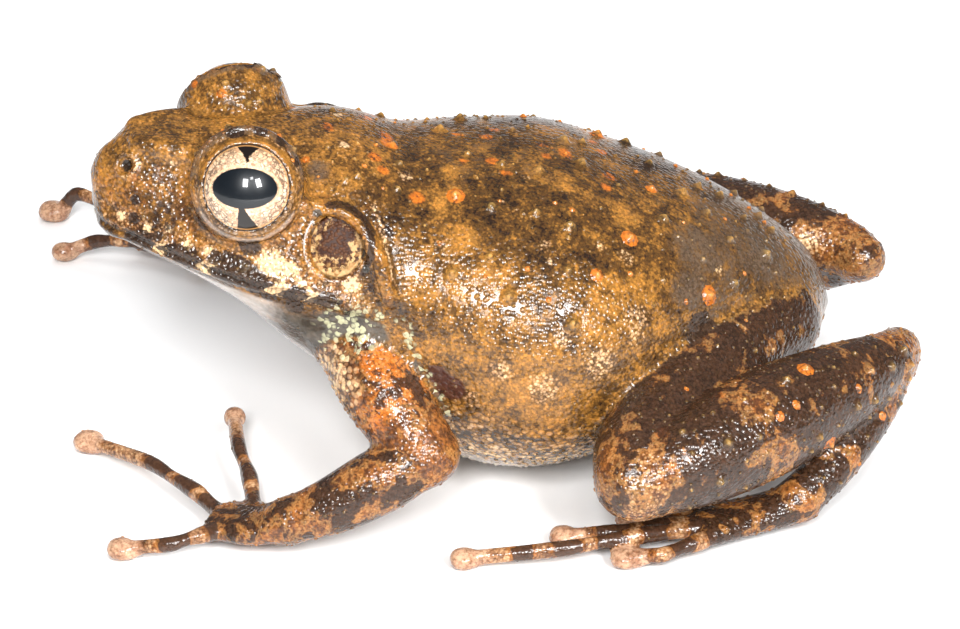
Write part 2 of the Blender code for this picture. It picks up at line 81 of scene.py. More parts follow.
def aimed(rows):
    """Rows with one more at each end, so that a smooth curve reaches the true ends."""
    rows = np.asarray(rows, float)
    return np.vstack([2 * rows[0] - rows[1], rows, 2 * rows[-1] - rows[-2]])


def thin_line(rows, steps=5):
    """A smooth line through all the given rows."""
    return smooth_rows(aimed(rows), steps)


def apart(points, centre):
    """How far each point lies from a centre."""
    return np.linalg.norm(points - centre, axis=1)


def world(points):
    """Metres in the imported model's frame."""
    return (np.asarray(points) + STANCE) * MM


# %% [markdown]
# ## Head and trunk as a field
# A skin that flows from the snout to the toes with no seam is hard to make from separate meshes. It is easy
# to make from a field: a function that says how far any point lies from the skin, negative inside. Two fields
# melt into one another with a smooth minimum, which leaves soft skin in the creases. Head and trunk use the
# solid model's own cross-sections: place along the body, top, lip line or widest level, underside, half
# width, squareness and narrowing of the crown.

# %% Head and trunk as a field
LEAN = 0.27
SECTIONS = (
    (-19.50, 17.95, 14.10, 13.30, 1.90, 0.90, 0.08),
    (-18.40, 18.20, 13.90, 12.85, 2.80, 0.76, 0.18),
    (-16.30, 18.15, 13.40, 11.90, 4.20, 0.66, 0.32),
    (-13.00, 18.05, 12.70, 10.00, 6.05, 0.66, 0.36),
    (-9.50, 17.55, 12.00, 7.00, 7.05, 0.72, 0.20),
    (-6.50, 16.75, 11.00, 4.70, 7.60, 0.86, 0.06),
    (-3.20, 16.10, 9.50, 1.90, 9.20, 0.92, 0.0),
    (0.60, 15.60, 8.30, 0.30, 10.40, 0.92, 0.0),
    (4.40, 14.30, 7.70, 0.35, 9.80, 0.92, 0.0),
    (8.20, 12.85, 7.30, 1.90, 7.40, 0.88, 0.0),
    (11.80, 11.00, 7.00, 3.40, 5.10, 0.90, 0.0),
    (14.70, 8.80, 6.50, 4.50, 3.20, 0.95, 0.0),
)
SNOUT_TIP = (-20.15, 15.90)
JAW_TIP = (-19.85, 13.80)
VENT = (16.10, 6.40)
LIP_FLARE = 0.15
JAW_INSET = 0.25
TUCK = 1.3
LEAST = 0.02
WIDEST = 12.0
FAR = 9.0
LEAN_ROUNDS = 8
HEAD_START, HEAD_END, HEAD_WIDTH = -6.4, -8.6, 3.0
LIP_HEIGHT, CROWN_LIMIT = 0.4, 1.2
FIELD_STEP, LEAST_SLOPE = 0.04, 0.25
SIDES = ((1, "left"), (-1, "right"))


def trunk_rows(tip):
    """Smooth sections from a tip at the front to the vent."""
    place, height = tip
    first = SECTIONS[0]
    before = (first[0], first[3], first[2], first[1], -first[4], first[5], first[6])
    point = (place, height, height, height, 0.0, first[5], first[6])
    vent = (VENT[0], VENT[1], VENT[1], VENT[1], 0.0, 1.0, 0.0)
    after = tuple(2 * a - b for a, b in zip(vent, SECTIONS[-1]))
    return smooth_rows([before, point, *SECTIONS, vent, after], 16)


UPPER_ROWS = trunk_rows(SNOUT_TIP)
LOWER_ROWS = trunk_rows(JAW_TIP)


def section_at(place, rows):
    """Top, level, underside, half width, squareness and narrowing of the section at a place."""
    return [np.interp(place, rows[:, 0], rows[:, k]) for k in range(1, 7)]


def place_along(points, rows):
    """The place of the leaning section that each point lies in."""
    y, z = points[:, 1], points[:, 2]
    along = y
    for _ in range(LEAN_ROUNDS):
        along = y - LEAN * (z - np.interp(along, rows[:, 0], rows[:, 2]))
    return along


def half_reach(points, rows, upper):
    """How far each point stands off the upper or the lower half of head and trunk, as a rough number."""
    along = place_along(points, rows)
    top, level, under, half, power, narrowing = section_at(along, rows)
    head = np.interp(along, (HEAD_END, HEAD_START), (1.0, 0.0)) * np.minimum(1.0, half / HEAD_WIDTH)
    rise = points[:, 2] - level
    above = np.maximum(top - level, LEAST)
    below = np.maximum(level - under, LEAST)
    across = np.abs(points[:, 0])
    if upper:
        below = np.minimum(below, TUCK)
        height = np.maximum(rise, 0.0) / above
        half = np.maximum(half + LIP_FLARE * head * np.exp(-(rise / LIP_HEIGHT) ** 2), LEAST)
        width = half * (1.0 - narrowing * np.minimum(height, CROWN_LIMIT))
        bend = 2.0 / power
        crown = ((across / width) ** bend + height ** bend) ** (1.0 / bend)
    else:
        above = np.minimum(above, TUCK)
        half = np.maximum(half - JAW_INSET * head, LEAST)
        crown = np.hypot(across / half, rise / above)
    belly = np.hypot(across / half, rise / below)
    return (np.where(rise >= 0.0, crown, belly) - 1.0) * half


def by_slope(reach, points, *args):
    """A rough measure divided by its own slope, so that near the skin it counts millimetres."""
    value = reach(points, *args)
    slope = np.zeros(len(points))
    for axis in np.eye(3):
        slope += ((reach(points + FIELD_STEP * axis, *args) - value) / FIELD_STEP) ** 2
    return value / np.maximum(np.sqrt(slope), LEAST_SLOPE)


def trunk_halves(points):
    """The fields of the upper and of the lower half of head and trunk."""
    return by_slope(half_reach, points, UPPER_ROWS, True), by_slope(half_reach, points, LOWER_ROWS, False)


def melt(a, b, width):
    """The smooth minimum of two fields: they join over a crease of this width."""
    overlap = np.maximum(width - np.abs(a - b), 0.0) / width
    return np.minimum(a, b) - overlap ** 2 * width / 4.0


def carve(a, b, width):
    """The field a with b cut out of it, over a rim of this width."""
    return -melt(-a, b, width)


print("trunk from", UPPER_ROWS[0, 0], "to", UPPER_ROWS[-1, 0], "mm")

# %% [markdown]
# ## Places on the trunk
# Ears, folds, warts and markings are all named by their place along the body and their angle round it,
# from 0 at the lip line over the crown to 180. This turns such a pair into a point of the section.

# %% Places on the trunk
def body_point(place, angle):
    """The point of the upper half's section at this place and angle."""
    top, level, under, half, power, narrowing = section_at(place, UPPER_ROWS)
    across, rise = math.cos(math.radians(angle)), math.sin(math.radians(angle))
    power = power if rise >= 0 else 1.0
    height = abs(rise) ** power
    x = math.copysign(abs(across) ** power, across) * half
    if rise >= 0:
        x *= 1.0 - narrowing * height
        z = level + (top - level) * height
    else:
        z = level - (level - under) * height
    return np.array((x, place + LEAN * (z - level), z))


def body_normal(place, angle):
    """The way out of the skin, from a short step along the body and one round it."""
    along = body_point(place + 0.3, angle) - body_point(place - 0.3, angle)
    around = body_point(place, angle + 3.0) - body_point(place, angle - 3.0)
    outward = np.cross(along, around)
    return outward / np.linalg.norm(outward)


EYE_CENTRE = np.array((4.1, -12.85, 16.8))
EYE_AXIS = np.array((0.88, -0.15, 0.45)) / np.linalg.norm((0.88, -0.15, 0.45))
EAR_PLACE = (-9.57, 18.5)
EAR_CENTRE, EAR_AXIS = body_point(*EAR_PLACE), body_normal(*EAR_PLACE)
print("ear at", EAR_CENTRE.round(2), "facing", EAR_AXIS.round(2))

# %% [markdown]
# ## Limbs as fields
# A limb is a run of flattened rounds along a smooth line: place, half width and half height. The nearest
# round gives the distance to its skin. The same search gives the length along the limb, and the crossbands
# of the real frog follow that length, so it is kept for the colours.

# %% Limbs as fields
UPPER_ARM = {
    1: ((5.0, -7.8, 8.8, 2.1), (7.4, -7.0, 7.4, 2.05), (9.1, -5.9, 6.0, 1.8), (10.2, -5.0, 5.1, 1.55)),
    -1: ((-5.0, -7.9, 8.8, 2.2), (-7.4, -8.0, 8.1, 2.1), (-9.9, -8.2, 7.2, 1.8), (-11.8, -8.4, 6.3, 1.5)),
}
FOREARM = {
    1: ((10.35, -5.7, 4.7, 1.4), (10.5, -7.3, 3.95, 1.6), (10.6, -9.6, 2.8, 1.4), (10.4, -11.6, 2.0, 1.1)),
    -1: ((-12.5, -8.8, 5.9, 1.35), (-14.2, -9.9, 5.0, 1.5), (-16.5, -11.4, 3.6, 1.3),
         (-18.2, -12.6, 2.4, 1.1)),
}
PALM = {
    1: ((10.3, -11.9, 1.9, 1.1, 1.0), (9.4, -13.3, 1.3, 1.6, 0.8), (8.3, -14.7, 1.0, 1.55, 0.65)),
    -1: ((-18.4, -12.8, 2.2, 1.1, 1.0), (-19.6, -14.4, 1.5, 1.6, 0.8), (-20.9, -15.9, 1.1, 1.55, 0.65)),
}
FINGERS = {
    1: (
        ((9.2, -12.2, 1.2), (7.7, -10.9, 1.0), (6.4, -9.6, 0.5)),
        ((8.6, -13.2, 1.2), (5.4, -13.2, 1.5), (2.6, -13.5, 1.7), (-0.7, -13.4, 1.4)),
        ((8.2, -14.6, 1.0), (5.8, -15.9, 1.2), (2.6, -17.9, 1.1), (-0.8, -20.6, 0.5)),
        ((8.9, -14.4, 1.0), (9.9, -15.8, 1.2), (10.3, -17.5, 1.0), (9.6, -19.7, 0.5)),
    ),
    -1: (
        ((-19.0, -13.8, 1.3), (-18.6, -13.7, 1.3), (-17.7, -13.8, 1.1)),
        ((-19.9, -15.7, 1.2), (-19.8, -17.4, 1.5), (-20.5, -19.0, 1.1), (-20.7, -20.6, 0.5)),
        ((-21.2, -16.2, 1.0), (-23.0, -17.8, 1.8), (-24.8, -19.6, 1.7), (-25.3, -20.9, 0.5)),
        ((-20.7, -15.2, 1.0), (-22.2, -15.3, 1.2), (-23.7, -15.7, 1.0), (-25.1, -16.5, 0.5)),
    ),
}
FINGER_DISCS = (0.5, 0.55, 0.8, 0.72)
THIGH = (
    (2.6, 12.8, 7.0, 2.4), (5.4, 9.9, 6.9, 2.6), (8.6, 7.2, 6.1, 2.5), (11.4, 5.2, 5.2, 2.3),
    (13.0, 4.5, 4.6, 1.9),
)
SHANK = (
    (13.2, 4.8, 4.6, 1.85), (11.9, 8.0, 5.2, 2.5), (10.1, 11.4, 5.65, 2.65), (8.0, 15.0, 6.0, 2.2),
    (6.0, 17.8, 6.2, 1.45), (4.8, 18.7, 6.1, 1.2),
)
TARSUS = ((5.5, 18.4, 5.5, 1.0), (7.2, 17.2, 4.3, 1.1), (9.5, 14.9, 2.7, 1.1), (10.7, 13.0, 1.7, 1.1))
SOLE = ((10.7, 13.0, 1.4, 1.1, 0.95), (11.0, 10.8, 1.05, 1.3, 0.75), (11.6, 8.4, 0.95, 1.4, 0.65))
TOES = (
    ((10.5, 10.4, 0.9), (9.8, 9.0, 0.8), (9.3, 7.4, 0.5)),
    ((10.8, 9.4, 0.9), (10.5, 7.2, 0.9), (9.9, 4.8, 0.5)),
    ((11.2, 8.8, 0.9), (11.5, 6.0, 1.0), (11.6, 3.4, 0.9), (11.1, 1.5, 0.5)),
    ((11.7, 8.6, 0.9), (12.4, 4.9, 1.1), (13.0, 1.0, 1.0), (12.5, -3.5, 0.5)),
    ((12.0, 9.4, 0.9), (13.0, 7.7, 0.9), (13.8, 5.8, 0.8), (13.3, 4.2, 0.5)),
)
TOE_DISCS = (0.5, 0.55, 0.75, 0.68, 0.8)
FINGER_RADIUS, TOE_RADIUS = 0.46, 0.48
DISC_THICKNESS = 0.5
SEARCH_PAD = 2.2
TINY = 1e-4


def limb_line(rows, steps=5):
    """Middle, half width and half height at close steps down a limb."""
    return thin_line([tuple(row) if len(row) == 5 else (*row, row[3]) for row in rows], steps)


def digit_line(points, radius, disc):
    """A finger or toe that swells at its joints and ends in a flattened disc."""
    rows = []
    for k, point in enumerate(points[:-1]):
        if k:
            waist = radius * (0.94 - 0.12 * k)
            rows.append((*((np.array(point) + points[k - 1]) / 2), waist, waist))
        knuckle = radius * (1.07 - 0.12 * k)
        rows.append((*point, knuckle, knuckle))
    tip, before = np.array(points[-1]), np.array(points[-2])
    ahead = (tip - before) / np.linalg.norm(tip - before)
    level = np.array((ahead[0], ahead[1], 0.0)) / np.hypot(ahead[0], ahead[1])
    neck = radius * 0.78
    rows.append((*(tip - ahead * disc * 1.4), neck, neck))
    rows.append((*(tip - level * disc * 0.5), disc * 0.7, DISC_THICKNESS * 0.95))
    rows.append((*(tip - level * disc * 0.02), disc * 1.02, DISC_THICKNESS))
    rows.append((*(tip + level * disc * 0.4), disc * 0.95, DISC_THICKNESS * 0.95))
    return limb_line(rows, 4)


def limb_reading(points, rows):
    """For each point its distance from a limb's skin and its length along the limb."""
    distance, along = np.full(len(points), FAR), np.zeros(len(points))
    reach = rows[:, 3:].max() + SEARCH_PAD
    low, high = rows[:, :3].min(0) - reach, rows[:, :3].max(0) + reach
    near = np.flatnonzero(((points > low) & (points < high)).all(1))
    p = points[near]
    best, best_along = np.full(len(near), FAR), np.zeros(len(near))
    run = 0.0
    for a, b in zip(rows, rows[1:]):
        step = b[:3] - a[:3]
        length = np.linalg.norm(step)
        ahead = step / length
        across = np.cross(ahead, UP)
        across /= np.linalg.norm(across)
        t = np.clip((p - a[:3]) @ ahead / length, 0.0, 1.0)
        wide, tall = a[3] + t * (b[3] - a[3]), a[4] + t * (b[4] - a[4])
        off = p - a[:3] - t[:, None] * step
        u, v, w = off @ across, off @ np.cross(across, ahead), off @ ahead
        least = np.minimum(wide, tall)
        ratio = np.maximum(np.sqrt((u / wide) ** 2 + (v / tall) ** 2 + (w / least) ** 2), TINY)
        slope = np.sqrt((u / wide ** 2) ** 2 + (v / tall ** 2) ** 2 + (w / least ** 2) ** 2)
        value = ratio * (ratio - 1.0) / np.maximum(slope, TINY / least)
        closer = value < best
        best[closer] = value[closer]
        best_along[closer] = (run + t * length)[closer]
        run += length
    distance[near], along[near] = best, best_along
    return distance, along


LIMB_LINES = {}
for side, label in SIDES:
    LIMB_LINES["upper_arm_" + label] = limb_line(UPPER_ARM[side])
    LIMB_LINES["forearm_" + label] = limb_line(FOREARM[side])
    LIMB_LINES["palm_" + label] = limb_line(PALM[side])
    for number, points in enumerate(FINGERS[side]):
        LIMB_LINES[f"finger_{number + 1}_{label}"] = digit_line(points, FINGER_RADIUS, FINGER_DISCS[number])
for name, rows in (("thigh", THIGH), ("shank", SHANK), ("tarsus", TARSUS), ("sole", SOLE)):
    LIMB_LINES[name] = limb_line(rows)
for number, points in enumerate(TOES):
    LIMB_LINES[f"toe_{number + 1}"] = digit_line(points, TOE_RADIUS, TOE_DISCS[number])


def mirrored(points):
    """Both sides of the frog folded onto its left."""
    folded = points.copy()
    folded[:, 0] = np.abs(folded[:, 0])
    return folded


def limb_readings(points):
    """Readings of every limb; the hind legs are alike, so they are read on the left for both sides."""
    folded = mirrored(points)
    both = ("thigh", "shank", "tarsus", "sole", "toe")
    return {name: limb_reading(folded if name.startswith(both) else points, rows)
            for name, rows in LIMB_LINES.items()}


print("limb pieces:", len(LIMB_LINES))

# %% [markdown]
# ## The forms of the head
# The head gets the most care. A brow dome rises over each eye, and a ball is scooped out of it for the eye
# to sit in. Rolled lids ring the opening. A ridge runs from the nostril to the eye, a fold of skin arches
# from the eye over the ear to the shoulder, and the ear disc lies in a shallow dish with a raised rim.

# %% The forms of the head
EYE_RADIUS = 2.55
EYE_DEPTH = 0.35
BALL_CENTRE = EYE_CENTRE - EYE_AXIS * EYE_DEPTH
BROW_CENTRE, BROW_RADIUS = EYE_CENTRE + np.array((0.0, -0.1, 0.2)), 2.8
OPENING = 2.08
LID_RADIUS = 2.70
LID_LEVEL = math.sqrt(EYE_RADIUS ** 2 - OPENING ** 2)
EYE_CLEARING, MOAT_LEVEL = 2.72, 0.95
EAR_RADII = (1.35, 1.55)
BACK_OF_HEAD = -4.5
FINE_HEAD = -6.3
BROW_MELT, RIDGE_MELT, FOLD_MELT, LID_MELT, SOCKET_RIM = 0.7, 0.7, 0.45, 0.2, 0.3


def upright_to(axis):
    """The direction at right angles to an axis that rises most."""
    upright = UP - axis * axis[2]
    return upright / np.linalg.norm(upright)


EYE_UPRIGHT, EAR_UPRIGHT = upright_to(EYE_AXIS), upright_to(EAR_AXIS)
EYE_ACROSS, EAR_ACROSS = np.cross(EYE_UPRIGHT, EYE_AXIS), np.cross(EAR_AXIS, EAR_UPRIGHT)
FOLD_LINE = limb_line((
    (5.2, -10.5, 16.25, 0.3), (5.0, -9.6, 16.0, 0.36), (5.45, -8.6, 15.75, 0.4), (6.0, -7.8, 15.25, 0.42),
    (6.5, -7.2, 14.5, 0.42), (6.9, -6.9, 13.8, 0.4), (7.25, -6.7, 12.8, 0.38), (7.5, -6.5, 12.0, 0.3)))
GROOVE_LINE = thin_line((
    (5.3, -10.3, 15.9), (5.3, -9.7, 15.6), (5.35, -8.9, 15.35), (5.7, -8.2, 15.0), (6.15, -7.75, 14.5),
    (6.7, -7.45, 14.0), (7.0, -7.2, 13.2), (7.3, -6.95, 12.3)))
CANTHUS_PLACES = ((-18.9, 66.0, 0.3), (-17.9, 62.0, 0.42), (-16.9, 58.0, 0.45), (-15.9, 52.0, 0.4))
CANTHUS_LINE = limb_line([(*body_point(place, angle), radius) for place, angle, radius in CANTHUS_PLACES])
CHEEK_HOLLOW = body_point(-16.9, 26.0)
NOSTRIL = np.array((1.45, -18.5, 16.95))
NOSTRIL_AXIS = np.array((0.72, -0.35, 0.60))
LIP_PLACES = ((0.0, -20.0, 14.15), (1.0, -19.95, 14.12), (1.95, -19.5, 14.08), (2.9, -18.4, 13.87),
              (4.3, -16.3, 13.37), (6.15, -13.0, 12.67), (7.1, -9.9, 12.05), (7.2, -8.7, 11.75))
LIP_LINE = thin_line(LIP_PLACES, 6)
CREASE_LINE = thin_line((
    (9.0, 10.2, 7.7), (9.7, 9.0, 7.8), (10.6, 8.0, 7.8), (11.4, 7.1, 7.6), (12.9, 6.0, 7.2), (14.2, 4.8, 6.3),
    (14.7, 4.3, 5.4)))


def line_distance(points, line):
    """Distance from a thin line."""
    best = np.full(len(points), FAR)
    for a, b in zip(line, line[1:]):
        step = b - a
        t = np.clip((points - a) @ step / np.linalg.norm(step) ** 2, 0.0, 1.0)
        best = np.minimum(best, apart(points - a, t[:, None] * step))
    return best


def soft(distance, width):
    """A smooth hump, 1 at no distance and almost 0 at twice the width."""
    return np.exp(-(distance / width) ** 2)


def ramp(values, low, high):
    """0 below low, 1 above high, smooth in between."""
    t = np.clip((values - low) / (high - low), 0.0, 1.0)
    return t * t * (3.0 - 2.0 * t)


def around_eye(points):
    """Points as the eye has them: sideways, up, outward, and their distance from the line of sight."""
    off = points - BALL_CENTRE
    side, rise, out = off @ EYE_ACROSS, off @ EYE_UPRIGHT, off @ EYE_AXIS
    return side, rise, out, np.hypot(side, rise)


def around_ear(points):
    """The same for the ear disc, with the distance as a share of the disc's radius."""
    off = points - EAR_CENTRE
    side, rise, out = off @ EAR_ACROSS, off @ EAR_UPRIGHT, off @ EAR_AXIS
    return side, rise, out, np.hypot(side / EAR_RADII[0], rise / EAR_RADII[1])


def nearness(points, centre, radius):
    """1 at a centre, and almost 0 at twice the radius."""
    return soft(apart(points, centre), radius)


def sunk(values, edge, steepness):
    """1 well below the edge and 0 well above it."""
    return 1.0 / (1.0 + np.exp((values - edge) * steepness))


def worked(folded, field, limit, forms):
    """The field with some forms worked into its front part, up to a limit along the body."""
    front = folded[:, 1] < limit
    field = field.copy()
    field[front] = forms(folded[front], field[front])
    return field


def head_forms(p, d):
    """Brows, ridges, folds, ear dishes, sockets and lids."""
    brow = apart(p, BROW_CENTRE) - BROW_RADIUS
    d = melt(d, brow, BROW_MELT) + 0.16 * soft(brow - 0.35, 0.3) * ramp(p[:, 2], 16.8, 17.6)
    d = melt(d, limb_reading(p, CANTHUS_LINE)[0], RIDGE_MELT)
    d = melt(d, limb_reading(p, FOLD_LINE)[0], FOLD_MELT)
    d += 0.22 * nearness(p, CHEEK_HOLLOW, 1.3)
    _, _, out, ear = around_ear(p)
    d += 0.3 * sunk(ear, 0.92, 16.0) * soft(out, 1.5)
    d -= 0.06 * soft(ear - 1.1, 0.13) * soft(out, 1.5)
    _, _, out, ring = around_eye(p)
    d = carve(d, np.maximum(ring - EYE_CLEARING, MOAT_LEVEL - out), SOCKET_RIM)
    lid = np.maximum(apart(p, BALL_CENTRE) - LID_RADIUS, out - LID_LEVEL)
    return melt(d, lid, LID_MELT)


def nostril_tube(folded):
    """Distance from the nostril's own short axis."""
    hole = folded - NOSTRIL
    depth = np.clip(hole @ NOSTRIL_AXIS, -0.7, 0.5)
    return apart(hole, depth[:, None] * NOSTRIL_AXIS)


def fine_forms(p, d):
    """What only a fine mesh can hold: the mouth line, the nostrils, the lids' edges and the ear's groove."""
    lip = line_distance(p, LIP_LINE)
    d += 0.24 * soft(lip, 0.11)
    d -= 0.07 * soft(lip - 0.34, 0.17)
    d += 0.2 * soft(line_distance(p, GROOVE_LINE), 0.15)
    tube = nostril_tube(p)
    d += 0.55 * soft(tube, 0.26) - 0.13 * soft(tube - 0.52, 0.13)
    _, rise, out, ring = around_eye(p)
    lower = sunk(rise, 0.3, 3.0)
    d -= (0.06 + 0.03 * lower) * soft(np.hypot(ring - OPENING - 0.1, out - LID_LEVEL), 0.12)
    d += 0.05 * soft(np.hypot(ring - OPENING - 0.27, out - LID_LEVEL + 0.2), 0.08)
    d += 0.12 * lower * soft(np.hypot(ring - LID_RADIUS - 0.05, out - MOAT_LEVEL + 0.35), 0.12)
    return d


print("eye:", 2 * EYE_RADIUS, "mm across; the lids stand", round(LID_LEVEL, 2), "mm out from its middle")

# %% [markdown]
# ## The whole skin as one field
# Where a limb leaves the body its skin flows over, so the melt is wide there. Where the folded thigh, shank
# and foot only press on one another there is a sharp crease, so the melt is narrow. The floor then cuts
# everything off at one level, which gives the small flats that the model stands on.

# %% The whole skin as one field
KNEE, HEEL, HIP = np.array((13.3, 4.3, 4.5)), np.array((4.9, 18.9, 5.9)), np.array((3.4, 12.0, 7.0))
SHOULDER = np.array((5.6, -8.4, 8.6))
HALVES_MELT, SOLE_MELT, ELBOW_MELT, PALM_MELT, DIGIT_MELT, FLOOR_RIM = 0.22, 0.45, 0.5, 0.6, 0.3, 0.06


def skin_field(points, fine=False):
    """Distance from the skin in millimetres, negative inside."""
    folded = mirrored(points)
    limbs = {name: distance for name, (distance, _) in limb_readings(points).items()}
    d = melt(*trunk_halves(points), HALVES_MELT)
    d = np.maximum(d, folded[:, 0] - WIDEST)
    d += 0.3 * soft(points[:, 1] + 4.4, 1.7) * np.clip((points[:, 2] - 12.5) / 4.0, 0.0, 1.0)
    d = worked(folded, d, BACK_OF_HEAD, head_forms)
    if fine:
        d = worked(folded, d, FINE_HEAD, fine_forms)
    leg = melt(limbs["thigh"], limbs["shank"], 0.2 + 0.9 * nearness(folded, KNEE, 1.6))
    leg = melt(leg, limbs["tarsus"], 0.18 + 0.8 * nearness(folded, HEEL, 1.5))
    leg = melt(leg, limbs["sole"], SOLE_MELT)
    for number in range(1, 6):
        leg = melt(leg, limbs[f"toe_{number}"], DIGIT_MELT)
    leg += 0.3 * soft(line_distance(folded, CREASE_LINE), 0.22)
    d = melt(d, leg, 0.22 + 1.6 * nearness(folded, HIP, 2.6))
    for side, label in SIDES:
        arm = melt(limbs["upper_arm_" + label], limbs["forearm_" + label], ELBOW_MELT)
        arm = melt(arm, limbs["palm_" + label], PALM_MELT)
        for number in range(1, 5):
            arm = melt(arm, limbs[f"finger_{number}_{label}"], DIGIT_MELT)
        d = melt(d, arm, 0.4 + nearness(points, SHOULDER * (side, 1, 1), 2.2))
    return carve(d, points[:, 2], FLOOR_RIM)


def slope_of(field, points, step=0.03):
    """The field at each point, and the direction and steepness in which it grows."""
    value = field(points)
    slope = np.stack([(field(points + step * axis) - value) / step for axis in np.eye(3)], axis=1)
    return value, slope


def settle(field, points, times, reach=0.12):
    """Move points onto the skin, a little at a time."""
    for _ in range(times):
        value, slope = slope_of(field, points)
        steep = np.maximum((slope ** 2).sum(1), 0.2)
        points = points - np.clip(value / steep, -reach, reach)[:, None] * slope
    return points


# %% [markdown]
# ## From field to mesh
# The field is measured on a fine grid, but only where a coarse grid says that the skin is near. Then one
# corner is put in each cell that the skin crosses, and one quad round each grid line that it crosses. Such a
# net of quads bends more evenly than the triangles of older ways, and it smooths well.

# %% From field to mesh
VOXEL = 0.312
COARSE, COARSE_REACH = 4, 1.5
POINTS_AT_ONCE = 150000


def grid_points(low, counts, step):
    """The points of a regular grid."""
    axes = [low[k] + step * np.arange(counts[k]) for k in range(3)]
    return np.stack(np.meshgrid(*axes, indexing="ij"), axis=-1)


def sample_field(field, low, high):
    """The field on a grid of voxels, with a rough value where the skin is far."""
    blocks = np.ceil((high - low) / (VOXEL * COARSE)).astype(int)
    rough_points = grid_points(low + VOXEL * (COARSE - 1) / 2, blocks, VOXEL * COARSE)
    rough = field(rough_points.reshape(-1, 3)).reshape(blocks)
    values = rough.repeat(COARSE, 0).repeat(COARSE, 1).repeat(COARSE, 2)
    near = np.abs(values) < VOXEL * COARSE * COARSE_REACH
    index = np.argwhere(near)
    parts = np.array_split(index, max(1, len(index) // POINTS_AT_ONCE))
    exact = [field(low + VOXEL * part) for part in parts]
    values[near] = np.concatenate(exact)
    rim = np.ones(values.shape, bool)
    rim[1:-1, 1:-1, 1:-1] = False
    values[rim] = FAR
    return values


def net_of_quads(values, low):
    """Corners and quads over the zero level of a grid."""
    inside = values < 0.0
    shape = np.array(values.shape)
    count = sum(inside[i:shape[0] - 1 + i, j:shape[1] - 1 + j, k:shape[2] - 1 + k].astype(np.int8)
                for i in (0, 1) for j in (0, 1) for k in (0, 1))
    mixed = (count > 0) & (count < 8)
    number = np.full(mixed.shape, -1)
    cells = np.argwhere(mixed)
    number[mixed] = np.arange(len(cells))
    total, hits = np.zeros((len(cells), 3)), np.zeros(len(cells))
    unit = np.eye(3, dtype=int)
    for axis in range(3):
        u, v = unit[(axis + 1) % 3], unit[(axis + 2) % 3]
        for start in (0 * u, u, v, u + v):
            a, b = cells + start, cells + start + unit[axis]
            fa, fb = values[tuple(a.T)], values[tuple(b.T)]
            crossed = (fa < 0.0) != (fb < 0.0)
            t = (fa / np.where(crossed, fa - fb, 1.0))[:, None]
            total[crossed] += (a + t * unit[axis])[crossed]
            hits[crossed] += 1
    corners = low + VOXEL * total / hits[:, None]
    quads = []
    for axis in range(3):
        u, v = unit[(axis + 1) % 3], unit[(axis + 2) % 3]
        before = inside[tuple(slice(0, -1) if k == axis else slice(None) for k in range(3))]
        after = inside[tuple(slice(1, None) if k == axis else slice(None) for k in range(3))]
        edges = np.argwhere(before != after)
        ring = np.stack([number[tuple((edges - shift).T)] for shift in (0 * u, u, u + v, v)], axis=1)
        leaving = before[tuple(edges.T)]
        ring[~leaving] = ring[~leaving][:, ::-1]
        quads.append(ring)
    return corners, np.vstack(quads)


def put(name, data):
    """A new object of the scene."""
    obj = bpy.data.objects.new(name, data)
    bpy.context.scene.collection.objects.link(obj)
    return obj


def new_mesh(name, corners, faces):
    """A new object of the scene from corners and faces."""
    mesh = bpy.data.meshes.new(name)
    mesh.from_pydata(corners, [], faces)
    return put(name, mesh)


LOW, HIGH = np.array((-27.2, -22.4, -0.9)), np.array((16.6, 21.2, 20.6))
grid = sample_field(skin_field, LOW, HIGH)
corners, quads = net_of_quads(grid, LOW)
print("grid", grid.shape, "corners", len(corners), "quads", len(quads))

# %% [markdown]
# ## Finer mesh where it matters
# Head and digits hold the smallest forms, so their quads are cut in four, and once more along the lips and
# the lids. Then all corners settle on the exact field, which also brings in the mouth line and the nostrils.
# Loose bubbles are dropped, so one closed surface remains.

# %% Finer mesh where it matters
FINEST_SHARE, NET_SMOOTHING, LAST_SMOOTHING, KEPT_SHARP = 0.4, 0.5, 0.4, 0.75


def wants_detail(middles):
    """Faces on the head and the digits."""
    head = (middles[:, 1] < FINE_HEAD) & (np.abs(middles[:, 0]) < 8.6) & (middles[:, 2] > 9.6)
    digits = middles[:, 2] < 2.0
    digits &= (middles[:, 1] < -12.0) | ((np.abs(middles[:, 0]) > 8.9) & (middles[:, 1] < 9.0))
    belly = (np.abs(middles[:, 0]) < 8.9) & (middles[:, 1] > -9.0)
    return head | (digits & ~belly)


def finest_share(points):
    """1 close to the lids, the lips, the nostrils, the ear's rim and the groove, 0 away from them."""
    folded = mirrored(points)
    _, _, eye_out, ring = around_eye(folded)
    _, _, ear_out, ear = around_ear(folded)
    near = np.minimum.reduce([
        line_distance(folded, LIP_LINE) - 0.3,
        line_distance(folded, GROOVE_LINE) - 0.25,
        apart(folded, NOSTRIL) - 0.7,
        np.maximum(np.abs(ring - 2.35) - 0.45, np.abs(eye_out - 1.2) - 0.7),
        np.maximum((np.abs(ear - 1.03) - 0.16) * 1.4, np.abs(ear_out) - 1.2)])
    return ramp(-near, -0.15, 0.05)


def keep_main_shell(bm):
    """Delete every closed surface but the largest, and say how many there were."""
    loose, shells = set(bm.verts), []
    while loose:
        shell, front = set(), [loose.pop()]
        while front:
            vert = front.pop()
            shell.add(vert)
            for edge in vert.link_edges:
                other = edge.other_vert(vert)
                if other in loose:
                    loose.remove(other)
                    front.append(other)
        shells.append(shell)
    shells.sort(key=len)
    for shell in shells[:-1]:
        bmesh.ops.delete(bm, geom=list(shell), context="VERTS")
    return len(shells) - 1


def corners_of(mesh):
    """The corners of a mesh as rows of numbers."""
    flat = np.empty(3 * len(mesh.vertices))
    mesh.vertices.foreach_get("co", flat)
    return flat.reshape(-1, 3)


